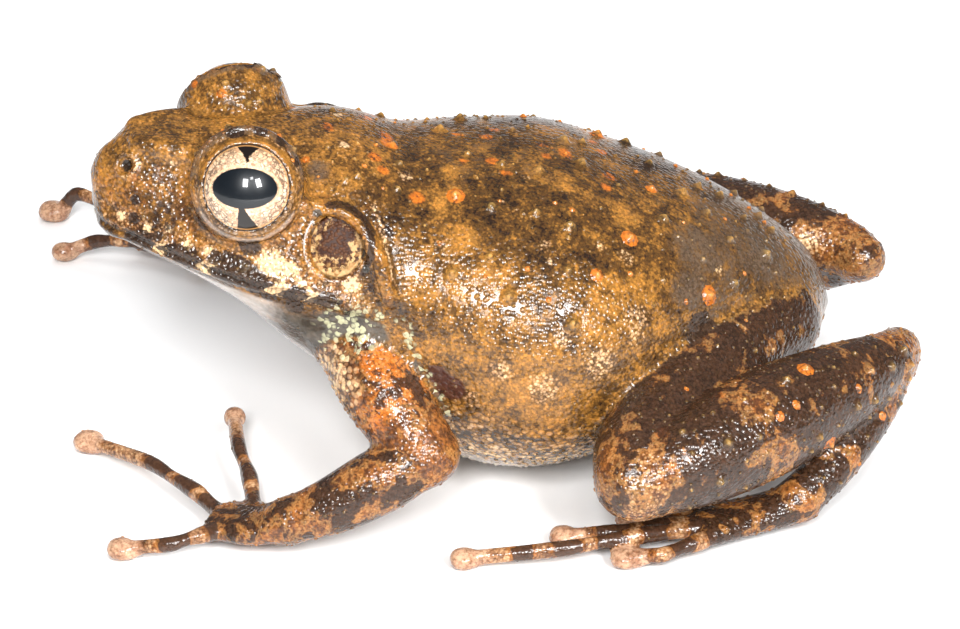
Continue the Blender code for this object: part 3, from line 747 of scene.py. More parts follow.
def smooth_corners(bm, factor):
    """Draw every corner towards its neighbours."""
    every_axis = {"use_axis_x": True, "use_axis_y": True, "use_axis_z": True}
    bmesh.ops.smooth_vert(bm, verts=bm.verts, factor=factor, **every_axis)


skin = new_mesh("skin", corners, quads.tolist())
bm = bmesh.new()
bm.from_mesh(skin.data)
dropped = keep_main_shell(bm)
for _ in range(2):
    smooth_corners(bm, NET_SMOOTHING)
for chooser in (wants_detail, lambda middles: finest_share(middles) > FINEST_SHARE):
    bm.faces.ensure_lookup_table()
    middles = np.array([face.calc_center_median() for face in bm.faces])
    chosen = np.flatnonzero(chooser(middles))
    edges = {edge for index in chosen for edge in bm.faces[index].edges}
    bmesh.ops.subdivide_edges(bm, edges=list(edges), cuts=1, use_grid_fill=True, use_single_edge=True)
bm.to_mesh(skin.data)
bm.free()
settled = settle(lambda p: skin_field(p, fine=True), corners_of(skin.data), times=4)
skin.data.vertices.foreach_set("co", settled.ravel())
bm = bmesh.new()
bm.from_mesh(skin.data)
smooth_corners(bm, LAST_SMOOTHING)
bm.to_mesh(skin.data)
bm.free()
kept = KEPT_SHARP * finest_share(settled)[:, None]
settled = settled * kept + corners_of(skin.data) * (1.0 - kept)
skin.data.vertices.foreach_set("co", settled.ravel())
print("bubbles dropped:", dropped, " corners:", len(settled), " triangles:",
      sum(len(face.vertices) - 2 for face in skin.data.polygons))

# %% [markdown]
# ## Where the colours go
# The pattern of a frog is not random: crossbands ring the limbs, bars and pale patches alternate along the
# lips, the flank fades to cream beads, and single orange warts dot the back. Each kind of marking gets one
# soft number per corner of the skin. The material later breaks these soft fields up with noise, so that
# their edges are as ragged as on the living animal. Round marks come first: each row is a place and a radius.
# The bars and gaps of the lips are rows of a place along the body, a half width and a reach from the lip.

# %% Marks on head and trunk
MARKS = {
    "cream": (
        (2.9, -5.2, 16.2, 0.5), (6.4, -3.8, 14.3, 0.5), (7.2, -3.5, 13.7, 0.35), (4.3, -0.8, 15.4, 0.25),
        (4.9, -0.2, 15.2, 0.25), (5.4, 0.5, 14.9, 0.22), (2.7, 0.6, 15.7, 0.3), (6.8, 1.0, 14.2, 0.4),
        (7.6, 1.2, 13.7, 0.3), (8.2, 0.6, 13.2, 0.4), (6.6, 5.0, 13.2, 0.5), (6.4, 3.7, 13.8, 0.35),
        (5.4, -7.0, 15.9, 0.2), (8.8, 5.2, 11.0, 0.8), (10.1, 3.3, 9.4, 1.0), (9.9, 1.4, 10.7, 0.6),
        (10.4, 0.5, 8.4, 1.0), (9.9, -1.5, 9.2, 0.7), (9.3, -2.9, 7.4, 0.6), (9.2, 5.1, 10.3, 0.6),
        (5.9, -12.0, 13.6, 0.8), (6.2, -11.1, 13.3, 0.5), (7.0, -8.3, 12.7, 0.5), (6.4, -8.0, 13.7, 0.35),
        (2.3, -18.9, 14.7, 0.3), (3.1, -17.7, 14.35, 0.3), (3.5, -16.7, 14.5, 0.25), (4.2, -15.9, 13.9, 0.32),
        (4.7, -14.9, 13.8, 0.3), (5.7, -13.3, 13.3, 0.35), (6.5, -11.7, 12.3, 0.3), (6.9, -10.2, 12.2, 0.28),
        (6.6, -10.7, 12.8, 0.3), (3.8, -16.9, 13.5, 0.28), (5.0, -15.0, 12.9, 0.34), (1.6, -8.0, 17.5, 0.3),
        (5.6, 15.6, 7.0, 0.6), (5.2, 16.7, 6.9, 0.5), (10.3, 4.6, 0.7, 0.9),
        (5.1, 9.8, 11.3, 0.35), (6.8, 10.8, 8.9, 0.4), (6.7, 12.1, 7.7, 0.4), (1.9, -17.9, 17.25, 0.2),
        (2.2, -16.3, 17.3, 0.18)),
    "ember": (
        (2.9, -6.3, 16.6, 0.4), (0.4, -5.8, 16.8, 0.5), (2.1, -6.6, 17.0, 0.45), (4.1, -4.8, 15.7, 0.45),
        (1.3, -0.8, 16.0, 0.4), (2.3, -0.3, 15.8, 0.35), (0.6, 1.9, 15.7, 0.3), (0.2, 2.9, 15.5, 0.4),
        (1.3, 4.9, 14.8, 0.4), (2.4, 4.6, 14.8, 0.35), (1.4, -2.2, 16.1, 0.3), (2.0, 8.2, 12.8, 0.35),
        (4.3, 8.6, 11.6, 0.3), (0.8, 10.4, 11.9, 0.35), (3.0, -11.0, 17.6, 0.3), (1.6, -9.4, 17.3, 0.3),
        (14.4, 6.1, 6.1, 0.42), (11.3, 8.9, 8.0, 0.38), (12.9, 5.9, 7.2, 0.5), (6.9, -10.2, 12.4, 0.2),
        (2.8, -10.0, 17.5, 0.3), (3.1, -14.8, 18.8, 0.25), (0.2, -8.6, 17.7, 0.3)),
    "gold": (
        (2.2, -2.8, 16.1, 0.5), (4.2, 5.0, 14.2, 1.0), (1.3, -18.2, 17.8, 0.6), (1.9, -17.0, 17.9, 0.6),
        (0.6, -17.8, 18.2, 0.7), (1.0, -15.7, 18.1, 0.4), (0.4, -10.8, 18.0, 0.4), (1.0, -8.6, 17.6, 0.4),
        (2.7, -12.1, 19.2, 0.4), (2.4, -11.4, 18.5, 0.4), (5.3, -9.5, 15.2, 0.4), (5.7, -9.7, 14.3, 0.4),
        (7.1, -8.3, 12.4, 0.6), (7.4, -8.0, 13.6, 0.5), (5.0, -9.0, 16.6, 0.4), (6.8, 10.8, 8.9, 0.5),
        (6.7, 12.1, 7.7, 0.5), (5.5, 10.7, 9.8, 0.4), (6.2, -12.6, 13.6, 0.6), (4.4, -15.6, 14.3, 0.5),
        (3.3, -17.0, 15.0, 0.4), (7.7, 5.7, 11.9, 1.0), (8.6, 3.9, 12.0, 1.2), (9.5, 3.3, 10.9, 1.2),
        (9.1, -2.4, 11.1, 1.0), (7.8, -5.1, 12.2, 0.8), (9.8, -0.5, 10.5, 1.2), (6.3, -3.0, 14.5, 0.9),
        (4.2, -3.7, 15.6, 0.8), (2.7, 2.3, 15.5, 0.8)),
    "dark": (
        (2.7, -18.3, 14.7, 0.3), (3.5, -17.2, 14.1, 0.28), (5.0, -14.6, 13.6, 0.4), (5.3, -14.1, 13.5, 0.4),
        (5.8, -13.5, 13.1, 0.36), (6.2, -12.7, 12.8, 0.36), (6.7, -11.0, 12.4, 0.34), (7.1, -9.6, 12.3, 0.26),
        (3.3, -17.7, 13.75, 0.34), (4.5, -16.0, 13.1, 0.5), (5.5, -14.2, 12.7, 0.42),
        (5.8, -13.6, 12.5, 0.42), (6.0, -12.9, 12.3, 0.42), (6.1, -12.2, 11.9, 0.4), (6.5, -11.0, 11.4, 0.5),
        (5.6, -13.0, 14.4, 0.6), (4.3, -15.0, 15.2, 0.5), (2.5, -18.2, 15.6, 0.3), (3.1, -17.0, 15.6, 0.3),
        (5.9, -6.3, 14.9, 0.28), (7.2, 8.5, 9.3, 0.9), (3.6, -14.2, 17.4, 0.3), (1.5, -12.4, 17.5, 0.35),
        (6.9, -7.3, 12.6, 0.3), (3.5, -13.4, 19.4, 0.45), (3.5, -12.2, 19.5, 0.38), (3.8, -11.2, 19.0, 0.36),
        (4.3, -10.5, 18.3, 0.42)),
    "plum": ((8.9, -3.8, 7.9, 0.8), (8.7, -4.4, 8.5, 0.6)),
    "green": (
        (7.3, -8.1, 11.3, 0.3), (7.4, -7.9, 9.9, 0.36), (6.8, -9.0, 10.3, 0.4), (6.3, -9.4, 9.2, 0.34),
        (7.6, -7.0, 11.3, 0.3)),
    "grey": (
        (7.4, -7.6, 10.0, 1.1), (7.3, -8.2, 11.0, 0.6), (6.6, -9.2, 10.4, 1.0), (8.3, -5.6, 8.6, 0.6),
        (5.4, -9.7, 15.85, 0.25), (6.4, -7.7, 14.1, 0.25), (6.8, -7.5, 13.5, 0.25)),
    # The dusky marks of the rear back: dark brown, partly painted sheen.
    "dusk": ((4.7, 8.9, 12.3, 1.6), (2.7, 12.1, 11.0, 2.0), (6.7, 8.1, 11.2, 1.2)),
}
LIP_BARS = ((-17.9, 0.6, 0.5), (-16.1, 0.8, 0.6), (-13.5, 1.2, 1.0), (-11.05, 0.5, 0.5), (-9.6, 0.6, 0.5))
LIP_GAPS = ((-17.0, 0.32, 0.5), (-14.95, 0.38, 0.75), (-11.8, 0.45, 0.8), (-10.3, 0.32, 0.6))
PALE_RIDGE = thin_line(((4.9, -7.0, 15.9), (6.0, -6.6, 14.8), (6.9, -6.4, 13.8), (7.6, -6.2, 12.7)), 4)
GREEN_LINE = thin_line((
    (7.9, -6.4, 11.3), (8.0, -5.8, 10.7), (8.1, -5.5, 9.9), (8.3, -5.2, 9.0), (8.5, -4.7, 8.0),
    (8.6, -4.2, 7.1), (8.4, -3.9, 6.3)), 4)
SNOUT_SHADE, LIP_SHADE = np.array((3.2, -16.9, 14.9)), np.array((1.6, -19.4, 14.6))
GREEN_SPOT, SHANK_GLOW = np.array((7.0, -8.4, 10.4)), np.array((5.3, 16.0, 6.9))
# One of these holds painted shade: the darkening in the creases, grooves, lid margins and nostrils.
FIELDS_WITHOUT_MARKS = ("rust", "pale", "coarse", "smooth", "crease", "limb", "flesh")
print("round marks:", sum(len(spots) for spots in MARKS.values()))

# %% [markdown]
# ## Tones that follow the forms
# Most tones follow a form: the flank pales towards the belly, the lids are golden above the eye and pale
# below it, the back turns dusky towards the rump and along its top, partly as painted sheen, and painted
# shade darkens the groove round the ear disc and the other creases. Such a tone is a product of soft steps
# and humps. The first number says how strong it is, and the others say where it starts, ends or fades. Where
# two of them meet, the stronger one wins, so their order doesn't matter. Only the lids first wipe off what
# lies under them.

# %% Tones of head and trunk
class Markings(dict):
    """Soft numbers for each kind of marking, by name."""

    def raise_to(self, **values):
        """Where two markings meet, the stronger one wins."""
        for name, value in values.items():
            self[name] = np.maximum(self[name], value)


def marks(points, spots):
    """The strongest of several round marks at each point, full in the middle, 0.5 at the given radius."""
    strength = np.zeros(len(points))
    for x, y, z, radius in spots:
        reach = apart(points, (x, y, z)) / radius
        strength = np.maximum(strength, 1.0 - ramp(reach, 0.4, 1.6))
    return strength


def trunk_marks(fields, folded, along, head):
    """What changes slowly from the crown to the belly, and the folds behind the head."""
    top, level, under = section_at(along, UPPER_ROWS)[:3]
    rise = folded[:, 2] - level
    height = np.where(rise > 0, rise / np.maximum(top - level, 1.0), rise / np.maximum(level - under, 1.0))
    body = 1 - head
    low = ramp(-height, 0.0, 0.75)
    cheek = head * ramp(-height, -0.6, -0.1) * ramp(height, -0.08, 0.02)
    throat = ramp(-along, 4.0, 7.5) * ramp(-height, 0.05, 0.4)
    front = ramp(-along, 9.0, 12.5)
    chin = ramp(-rise, 0.5, 1.0) * front
    fold = soft(np.maximum(limb_reading(folded, FOLD_LINE)[0], 0.0), 0.16)
    fields.raise_to(
        cream=(0.2 + 0.5 * low) * body * ramp(-height, -0.25, 0.5),
        gold=0.45 * head * ramp(height, -0.1, 0.25),
        dark=0.52 * nearness(folded, SNOUT_SHADE, 1.5),
        # Dusky brown towards the rump, partly painted sheen.
        dusk=0.6 * ramp(along, 4.5, 9.0) * ramp(height, -0.2, 0.3),
        rust=np.maximum(0.45 * head * ramp(height, 0.0, 0.2) * (1 - ramp(height, 0.7, 0.95)), 0.5 * cheek),
        grey=throat * (1 - 0.55 * front),
        pale=np.maximum(ramp(-height, 0.55, 0.9) * (1 - 0.3 * head), 0.6 * chin),
        smooth=np.maximum(throat * (1 - front * (1 - chin)), 0.8 * ramp(-height, 0.7, 1.0)),
        coarse=np.maximum(ramp(-height, 0.0, 0.5) * body, 0.4 * cheek),
        green=0.75 * soft(line_distance(folded, GREEN_LINE), 0.2))
    fields.raise_to(
        cream=0.8 * soft(line_distance(folded, PALE_RIDGE), 0.2),
        gold=0.5 * body * ramp(height, -0.9, -0.3) * (1 - ramp(height, 0.4, 0.8)),
        dark=0.42 * nearness(folded, LIP_SHADE, 1.1),
        # Dusky brown along the top of the back, partly painted sheen.
        dusk=0.36 * ramp(height, 0.7, 1.0) * body,
        rust=0.4 * fold,
        green=0.55 * nearness(folded, GREEN_SPOT, 1.5) * (1 - front))
    fields.raise_to(cream=np.maximum(0.5 * cheek, 0.27 * head * ramp(height, -0.4, 0.0)), gold=0.8 * fold)


def ear_marks(fields, folded):
    """Painted shade under the fold behind the ear disc and in its groove, and a pale rim before the disc."""
    side, rise, out, ear = around_ear(folded)
    lobe = soft(out, 1.2)
    fields.raise_to(
        # The dark arch is painted shade under the fold above the ear disc.
        dark=soft(ear - 1.27, 0.16) * lobe * ramp(0.5 * rise - side, 0.0, 0.9),
        pale=0.62 * soft(ear - 1.13, 0.055) * lobe * ramp(side - 0.2 * np.abs(rise), 0.3, 0.9),
        # Painted shade in the groove round the disc.
        crease=0.42 * soft(ear - 1.0, 0.06) * lobe)


def lip_marks(fields, folded):
    """Painted shade in the mouth line, the groove and the nostril, a painted highlight on the nostril's rim,
    and the dark bars and pale gaps along the lips.
    """
    y, z = folded[:, 1], folded[:, 2]
    lip, groove = line_distance(folded, LIP_LINE), line_distance(folded, GROOVE_LINE)
    tube = nostril_tube(folded)
    # Painted shade in the mouth line and in the groove under the fold.
    fields.raise_to(crease=np.maximum(0.95 * soft(lip, 0.11), 0.9 * soft(groove, 0.11)))
    # Painted shade inside the nostril, and a painted highlight on its raised rim.
    fields.raise_to(crease=1.0 - ramp(tube, 0.24, 0.38), cream=0.85 * soft(tube - 0.54, 0.08))
    lean = 0.22 * np.sin(5.0 * z + 1.3 * y) + 0.13 * np.sin(13.0 * z - 7.0 * y)
    over_lip = ramp(z - np.interp(y, LIP_LINE[:, 1], LIP_LINE[:, 2]), -0.45, -0.15)
    for name, blocks, strength in (("cream", LIP_GAPS, 0.9), ("dark", LIP_BARS, 1.0)):
        for middle, half, tall in blocks:
            reach = np.hypot(np.abs(y + lean - middle) / half, lip / tall)
            fields.raise_to(**{name: strength * (1 - ramp(reach, 0.6, 1.6)) * over_lip})


def eye_marks(fields, folded):
    """The brow and the lids: pale below the eye, golden and dusky above it, painted shade in their creases."""
    brow = apart(folded, BROW_CENTRE) - BROW_RADIUS
    # Painted shade in the groove round the foot of the brow.
    fields.raise_to(crease=0.38 * soft(brow - 0.3, 0.22) * ramp(folded[:, 2], 16.8, 17.6))
    side, rise, out, ring = around_eye(folded)
    lower = ramp(-rise, -0.7, 0.1)
    upper = 1 - lower
    near_eye = ramp(out, 0.3, 0.7)
    band = soft(ring - OPENING - 0.17, 0.15) * near_eye
    for name in ("dark", "rust", "cream", "gold", "dusk", "grey"):
        fields[name] = fields[name] * (1 - band)
    lid_side = upper * ramp(folded[:, 0], 2.4, 3.2)
    fields.raise_to(
        pale=0.5 * band * lower * ramp(-np.abs(side), -1.9, -1.2),
        cream=0.62 * band * lower,
        gold=0.95 * band * upper,
        ember=0.4 * band * upper,
        smooth=0.7 * band,
        rust=0.5 * soft(ring - 2.85, 0.2) * near_eye,
        dusk=soft(ring - 2.8, 0.34) * upper * near_eye,
        # Painted shade along the margin of the lids.
        crease=0.9 * soft(ring - OPENING + 0.02, 0.05) * near_eye,
        dark=0.46 * soft(ring - 3.25, 0.5) * lid_side)
    fields.raise_to(
        pale=0.5 * soft(ring - OPENING - 0.42, 0.2) * ramp(-rise, 0.0, 1.5) * near_eye,
        cream=0.45 * soft(ring - 2.5, 0.16) * near_eye,
        dusk=0.9 * soft(ring - 3.3, 0.6) * lid_side,
        # Painted shade in the moat under the lower lid.
        crease=0.55 * lower * soft(ring - LID_RADIUS + 0.05, 0.08) * near_eye)


print("kinds of marking:", len(MARKS) + len(FIELDS_WITHOUT_MARKS))

# %% [markdown]
# ## Crossbands of the limbs
# Bands drawn in plain coordinates would cut straight through a folded leg. So they sit at named lengths down
# a limb, in millimetres from its root, each with a half width, and bend as the limb does. The value is 1 in
# the middle of a band, 0.5 at its edge and 0 at twice the half width. Every kind of limb then mixes its own
# tones from these bands, and digits turn pale and fleshy at the tip.

# %% Crossbands of the limbs
BANDS = {
    "upper_arm": ((0.9, 0.4), (3.9, 0.6)),
    "forearm": ((1.2, 0.5), (3.9, 1.15), (6.9, 0.85)),
    "palm": ((0.9, 0.65), (2.6, 0.65)),
    "thigh": ((1.6, 1.0), (4.6, 1.2), (8.0, 1.0), (10.8, 0.8)),
    "shank": ((3.4, 1.4), (9.2, 1.5), (13.2, 0.85)),
    "tarsus": ((0.9, 0.7), (4.2, 1.1), (7.3, 1.1)),
    "sole": ((1.6, 0.85), (4.4, 0.85)),
    "finger": ((1.0, 0.6), (3.3, 0.65), (5.6, 0.7)),
    "toe": ((0.8, 0.55), (3.0, 0.6), (5.1, 0.6), (7.3, 0.6), (9.4, 0.5)),
}
DIGITS = ("finger", "toe")
KEPT_ON_LIMBS = ("ember", "green", "gold")
FOLDED_LIMBS, ARMS = ("thigh", "shank", "tarsus"), ("upper_arm", "forearm")
DIGIT_WAVE, LIMB_WAVE = 0.35, 1.5


def band_value(kind, along):
    """1 in the middle of a band, 0.5 at its edge, 0 well outside."""
    value = np.zeros(len(along))
    for middle, half in BANDS[kind]:
        value = np.maximum(value, 1.0 - 0.5 * np.abs(along - middle) / half)
    return value


def line_underside(points, line):
    """How far under the middle of a limb each point lies, as a share of the limb's half height."""
    span = line[-1, :3] - line[0, :3]
    t = np.clip((points - line[0, :3]) @ span / (span @ span), 0.0, 1.0)
    steps = np.linspace(0.0, 1.0, len(line))
    return (np.interp(t, steps, line[:, 2]) - points[:, 2]) / np.interp(t, steps, line[:, 4])


def limb_values(kind, line, points, length, bands):
    """The markings of one kind of limb; what isn't named here is 0."""
    total = np.linalg.norm(np.diff(line[:, :3], axis=0), axis=1).sum()
    values = {"dark": bands, "rust": 0.68, "coarse": 0.25, "limb": 1.0}
    if kind in DIGITS:
        tip = ramp(length, total - 1.9, total - 1.2)
        values.update(
            dark=0.88 * ramp(bands, 0.1, 0.75) * (1 - tip), coarse=0.0, smooth=0.55, flesh=0.25 + 0.75 * tip,
            cream=np.maximum(0.6 * ramp(1 - bands, 0.35, 0.8), 0.8 * tip))
    elif kind in ("forearm", "palm"):
        values.update(cream=0.4 * (1 - bands), dark=(0.1 + 0.62 * bands) * (0.85 if kind == "palm" else 1.0))
    elif kind == "upper_arm":
        ahead = ramp(-(points[:, 1] - np.interp(length, (0, total), (line[0, 1], line[-1, 1]))), 0.9, 1.7)
        ahead *= 1 - ramp(length, 2.8, 4.4)
        values.update(
            cream=0.75 * ahead, ember=0.72 * (1 - ahead) * (1 - 0.6 * ramp(length, 4.2, 5.6)),
            dark=(0.26 + 0.5 * bands) * (1 - 0.5 * ahead), coarse=0.2 + 0.8 * ahead)
    elif kind == "thigh":
        values.update(cream=0.3 * ramp(length, 11.2, 13.0), dark=0.46 + 0.5 * bands)
    elif kind == "shank":
        values.update(cream=0.5 * (1 - ramp(length, 0.6, 2.6)), dark=0.36 + 0.62 * bands)
    return values


def limb_marks(fields, points, folded, patches):
    """Bands and tones of the limbs. They fade in where a limb comes out of the trunk."""
    readings = limb_readings(points)
    limbs = np.stack([distance for distance, _ in readings.values()])
    nearest = limbs.argmin(0)
    limb = ramp(np.minimum(*trunk_halves(points)) - limbs.min(0), -0.35, 0.5)
    for index, (name, line) in enumerate(LIMB_LINES.items()):
        kind = next(start for start in BANDS if name.startswith(start))
        mine = (nearest == index) & (limb > 0)
        length, w, patch = readings[name][1][mine], limb[mine], patches[mine]
        x, y, z = folded[mine].T
        wave = (0.32 * np.sin(3.1 * x + 1.9 * z) + 0.3 * np.sin(2.3 * y - 2.9 * z + 1.0)
                + 0.2 * np.sin(6.1 * x - 5.3 * y))
        bands = band_value(kind, length + wave * (DIGIT_WAVE if kind in DIGITS else LIMB_WAVE))
        values = limb_values(kind, line, points[mine], length, bands)
        for field, all_values in fields.items():
            old = all_values[mine]
            kept = patch if field == "cream" else old * (field in KEPT_ON_LIMBS)
            all_values[mine] = np.maximum(old * (1 - w) + values.get(field, 0.0) * w, kept * 0.95)
        fields["dark"][mine] *= 1 - 0.85 * patch
        if kind == "shank":
            glow = nearness(folded[mine], SHANK_GLOW, 1.1)
            fields["dark"][mine] *= 1 - glow
            fields["cream"][mine] = np.maximum(fields["cream"][mine], 0.85 * glow)
        if kind in (*FOLDED_LIMBS, *ARMS):
            seen = folded[mine] if kind in FOLDED_LIMBS else points[mine]
            underside = ramp(line_underside(seen, line), 0.5, 0.95)
            fields["cream"][mine] = np.maximum(fields["cream"][mine], 0.36 * underside * w)


print("bands:", {kind: len(bands) for kind, bands in BANDS.items()})

# %% [markdown]
# ## All markings on the skin
# One function calls the others in turn. It works on any points, so the warts can ask for their colours later
# in the same way as the corners of the skin do here.

# %% All markings on the skin
def marking_fields(points):
    """One soft number between 0 and 1 per point for every kind of marking."""
    folded = mirrored(points)
    along = place_along(folded, UPPER_ROWS)
    head = ramp(-along, 6.0, 8.5)
    fields = Markings({name: marks(folded, spots) for name, spots in MARKS.items()})
    fields.update({name: np.zeros(len(points)) for name in FIELDS_WITHOUT_MARKS})
    fields["cream"] *= 0.6 + 0.4 * head
    fields["ember"] = 0.95 * fields["ember"] ** 1.7
    fields["dark"] = fields["dark"] ** 1.2
    patches = fields["cream"].copy()
    trunk_marks(fields, folded, along, head)
    ear_marks(fields, folded)
    lip_marks(fields, folded)
    eye_marks(fields, folded)
    limb_marks(fields, points, folded, patches)
    # Painted shade along the crease between thigh and flank.
    fields.raise_to(crease=0.7 * soft(line_distance(folded, CREASE_LINE), 0.14))
    return fields


def store(mesh, name, values):
    """Keep one number, or one direction, for every corner of a mesh."""
    values = np.asarray(values, np.float32)
    kind, key = ("FLOAT", "value") if values.ndim == 1 else ("FLOAT_VECTOR", "vector")
    mesh.attributes.new(name, kind, "POINT").data.foreach_set(key, values.ravel())


fields = marking_fields(settled)
fields["tip"] = np.zeros(len(settled))
for name, values in fields.items():
    store(skin.data, name, values)
    print(f"{name:6} covers {100 * float(np.mean(values > 0.5)):.0f}% of the corners")

# %% [markdown]
# ## Maths with sockets
# Shader nodes are easiest to read as formulas. A Wire wraps one socket, and the usual signs on it add maths
# nodes. Bench makes any other node: settings first, then sockets. It also keeps the colour of the material so
# far, and lays one paint after another over it. Colours are mixed by Mix nodes, because a plain maths node
# would turn them grey.

# %% Maths with sockets
def add_node(tree, kind, settings=None, sockets=None):
    """A new node of a tree: first its settings, then its inputs, by name or by number."""
    node = tree.nodes.new(kind)
    for key, value in (settings or {}).items():
        setattr(node, key, value)
    for key, value in (sockets or {}).items():
        socket = node.inputs[key] if isinstance(key, int) else next(
            s for s in node.inputs if s.name == key and s.enabled)
        plug(tree, socket, value)
    return node


def plug(tree, socket, value):
    """Link an input to a socket or a Wire, or give it a plain value."""
    value = getattr(value, "socket", value)
    if isinstance(value, bpy.types.NodeSocket):
        tree.links.new(value, socket)
    else:
        socket.default_value = value


class Wire:
    """A socket of a node tree that can be used in a formula."""

    def __init__(self, bench, socket):
        self.bench = bench
        self.socket = socket

    def maths(self, operation, *others):
        """A maths node that works on this socket and on others."""
        return self.bench.node("ShaderNodeMath", {"operation": operation}, dict(enumerate((self, *others))))

    def __rsub__(self, other):
        return (self * -1.0).maths("ADD", other)

    def step(self, low, high):
        """0 below low, 1 above high, smooth in between."""
        return self.bench.node("ShaderNodeMapRange", {"interpolation_type": "SMOOTHSTEP"},
                               {"Value": self, "From Min": low, "From Max": high})


SIGNS = {"__add__": "ADD", "__radd__": "ADD", "__sub__": "SUBTRACT", "__mul__": "MULTIPLY",
         "__rmul__": "MULTIPLY", "__truediv__": "DIVIDE", "__pow__": "POWER", "most": "MAXIMUM"}
for sign, operation in SIGNS.items():
    setattr(Wire, sign, lambda wire, other, operation=operation: wire.maths(operation, other))


class Bench:
    """The node tree of one material, with the colour that its layers of paint have made so far."""

    def __init__(self, name, ground):
        self.colour = ground
        self.material = bpy.data.materials.new(name)
        self.material.use_nodes = True
        self.tree = self.material.node_tree
        self.shader = self.tree.nodes["Principled BSDF"]

    def node(self, kind, settings=None, sockets=None, out=0):
        """A new node, as the Wire of one of its outputs."""
        return Wire(self, add_node(self.tree, kind, settings, sockets).outputs[out])

    def mix(self, a, b, share):
        """Colour a where share is 0 and colour b where it is 1."""
        a, b = ((*colour, 1.0) if isinstance(colour, tuple) else colour for colour in (a, b))
        return self.node("ShaderNodeMix", {"data_type": "RGBA"}, {0: share, 6: a, 7: b}, out=2)

    def lay(self, paint, share):
        """One more layer of paint, as thick as the share says."""
        self.colour = self.mix(self.colour, paint, share)

    def place(self):
        """Object coordinates in millimetres."""
        spot = self.node("ShaderNodeTexCoord", out="Object")
        return self.node("ShaderNodeVectorMath", {"operation": "SCALE"}, {0: spot, "Scale": 1000.0})

    def stored(self, name, out="Fac"):
        """What the mesh keeps under this name: a number, or a direction from the output Vector."""
        return self.node("ShaderNodeAttribute", {"attribute_name": name}, out=out)

    def parts(self, vector):
        """The first and the second number of a vector."""
        first = self.node("ShaderNodeSeparateXYZ", {}, {0: vector})
        return first, Wire(self, first.socket.node.outputs["Y"])

    def noise(self, place, scale, detail, roughness, offset=0.0):
        """Soft clouds; the offset makes one noise differ from another."""
        if offset:
            place = self.node("ShaderNodeVectorMath", {"operation": "ADD"}, {0: place, 1: (offset,) * 3})
        return self.node("ShaderNodeTexNoise", {}, {
            "Vector": place, "Scale": scale, "Detail": detail, "Roughness": roughness})

    def swirl(self, place, scale, reach):
        """A place with a small random push, which bends straight lines of cells."""
        push = self.node("ShaderNodeTexNoise", {}, {"Vector": place, "Scale": scale}, out="Color")
        push = self.node("ShaderNodeVectorMath", {"operation": "SCALE"}, {0: push, "Scale": reach})
        return self.node("ShaderNodeVectorMath", {"operation": "ADD"}, {0: place, 1: push})

    def tiles(self, place, scale):
        """Round domes of a pavement of cells, and one random tone for each cell."""
        near = self.node("ShaderNodeTexVoronoi", {}, {"Vector": place, "Scale": scale}, out="Distance")
        tone = self.node("ShaderNodeSeparateXYZ", {}, {0: near.socket.node.outputs["Color"]})
        return 1.0 - near * near * 2.6, tone

    def edges(self, place, scale):
        """How far each point lies from the edge of its cell."""
        return self.node("ShaderNodeTexVoronoi", {"feature": "DISTANCE_TO_EDGE"},
                         {"Vector": place, "Scale": scale}, out="Distance")

    def bump(self, height, strength, distance):
        """A slope of the shading, from heights that go up to this many metres."""
        return self.node("ShaderNodeBump", {}, {
            "Height": height, "Strength": strength, "Distance": distance}, out="Normal")

    def finish(self, **settings):
        """Plug the colour and the other inputs of the shader; the material is then ready."""
        for key, value in {"Base_Color": self.colour, **settings}.items():
            plug(self.tree, self.shader.inputs[key.replace("_", " ")], value)
        return self.material


print("maths nodes that a Wire can add by a sign:", ", ".join(sorted(set(SIGNS.values()))))

# %% [markdown]
# ## The skin's finish
# Wet frog skin is a pavement of tiny domes, pale on top with a dark net between them. Two sets of cells give
# it, a fine one for the back and a coarse one for the flank, and the same cells raise the bump. Over that
# come the markings, each broken up by noise and laid like a coat of paint over the ones before. The skin has
# no clear coat: a low roughness makes it look moist, and the domes break up its reflections into the pinpoint
# glints of the photograph.
# Among the markings are painted shade in the creases and a dusky brown on the back that is partly painted
# sheen.

# %% The skin's finish
UMBER, OLIVE = (0.022, 0.011, 0.006), (0.088, 0.040, 0.010)
GOLDEN, AMBER = (0.27, 0.118, 0.021), (0.46, 0.19, 0.030)
CREAM, TAN, EMBER = (0.76, 0.53, 0.29), (0.50, 0.27, 0.13), (0.60, 0.155, 0.014)
RUST, RUST_SHADE, DARK = (0.33, 0.112, 0.024), (0.10, 0.036, 0.014), (0.038, 0.021, 0.014)
# The dusky brown here and its darker twin two lines below are partly painted sheen on the back.
FLESH, FLESH_SHADE, DUSK_AND_SHEEN = (0.62, 0.39, 0.25), (0.33, 0.15, 0.08), (0.125, 0.082, 0.052)
GREY, GREY_LIGHT, GREEN = (0.036, 0.031, 0.024), (0.095, 0.082, 0.066), (0.50, 0.48, 0.29)
# Of the next three colours, the last is the darkest brown, also used for the painted shade in creases.
PALE, PLUM, INK_AND_SHADE = (0.56, 0.50, 0.45), (0.055, 0.018, 0.014), (0.009, 0.006, 0.004)
DUSK_AND_SHEEN_DARK, NIGHT_FLESH = (0.05, 0.034, 0.022), (0.10, 0.045, 0.025)
BAND_EDGE, WART_TIP = (0.46, 0.25, 0.085), (0.62, 0.36, 0.10)
SKIN_BUMP = 0.000032


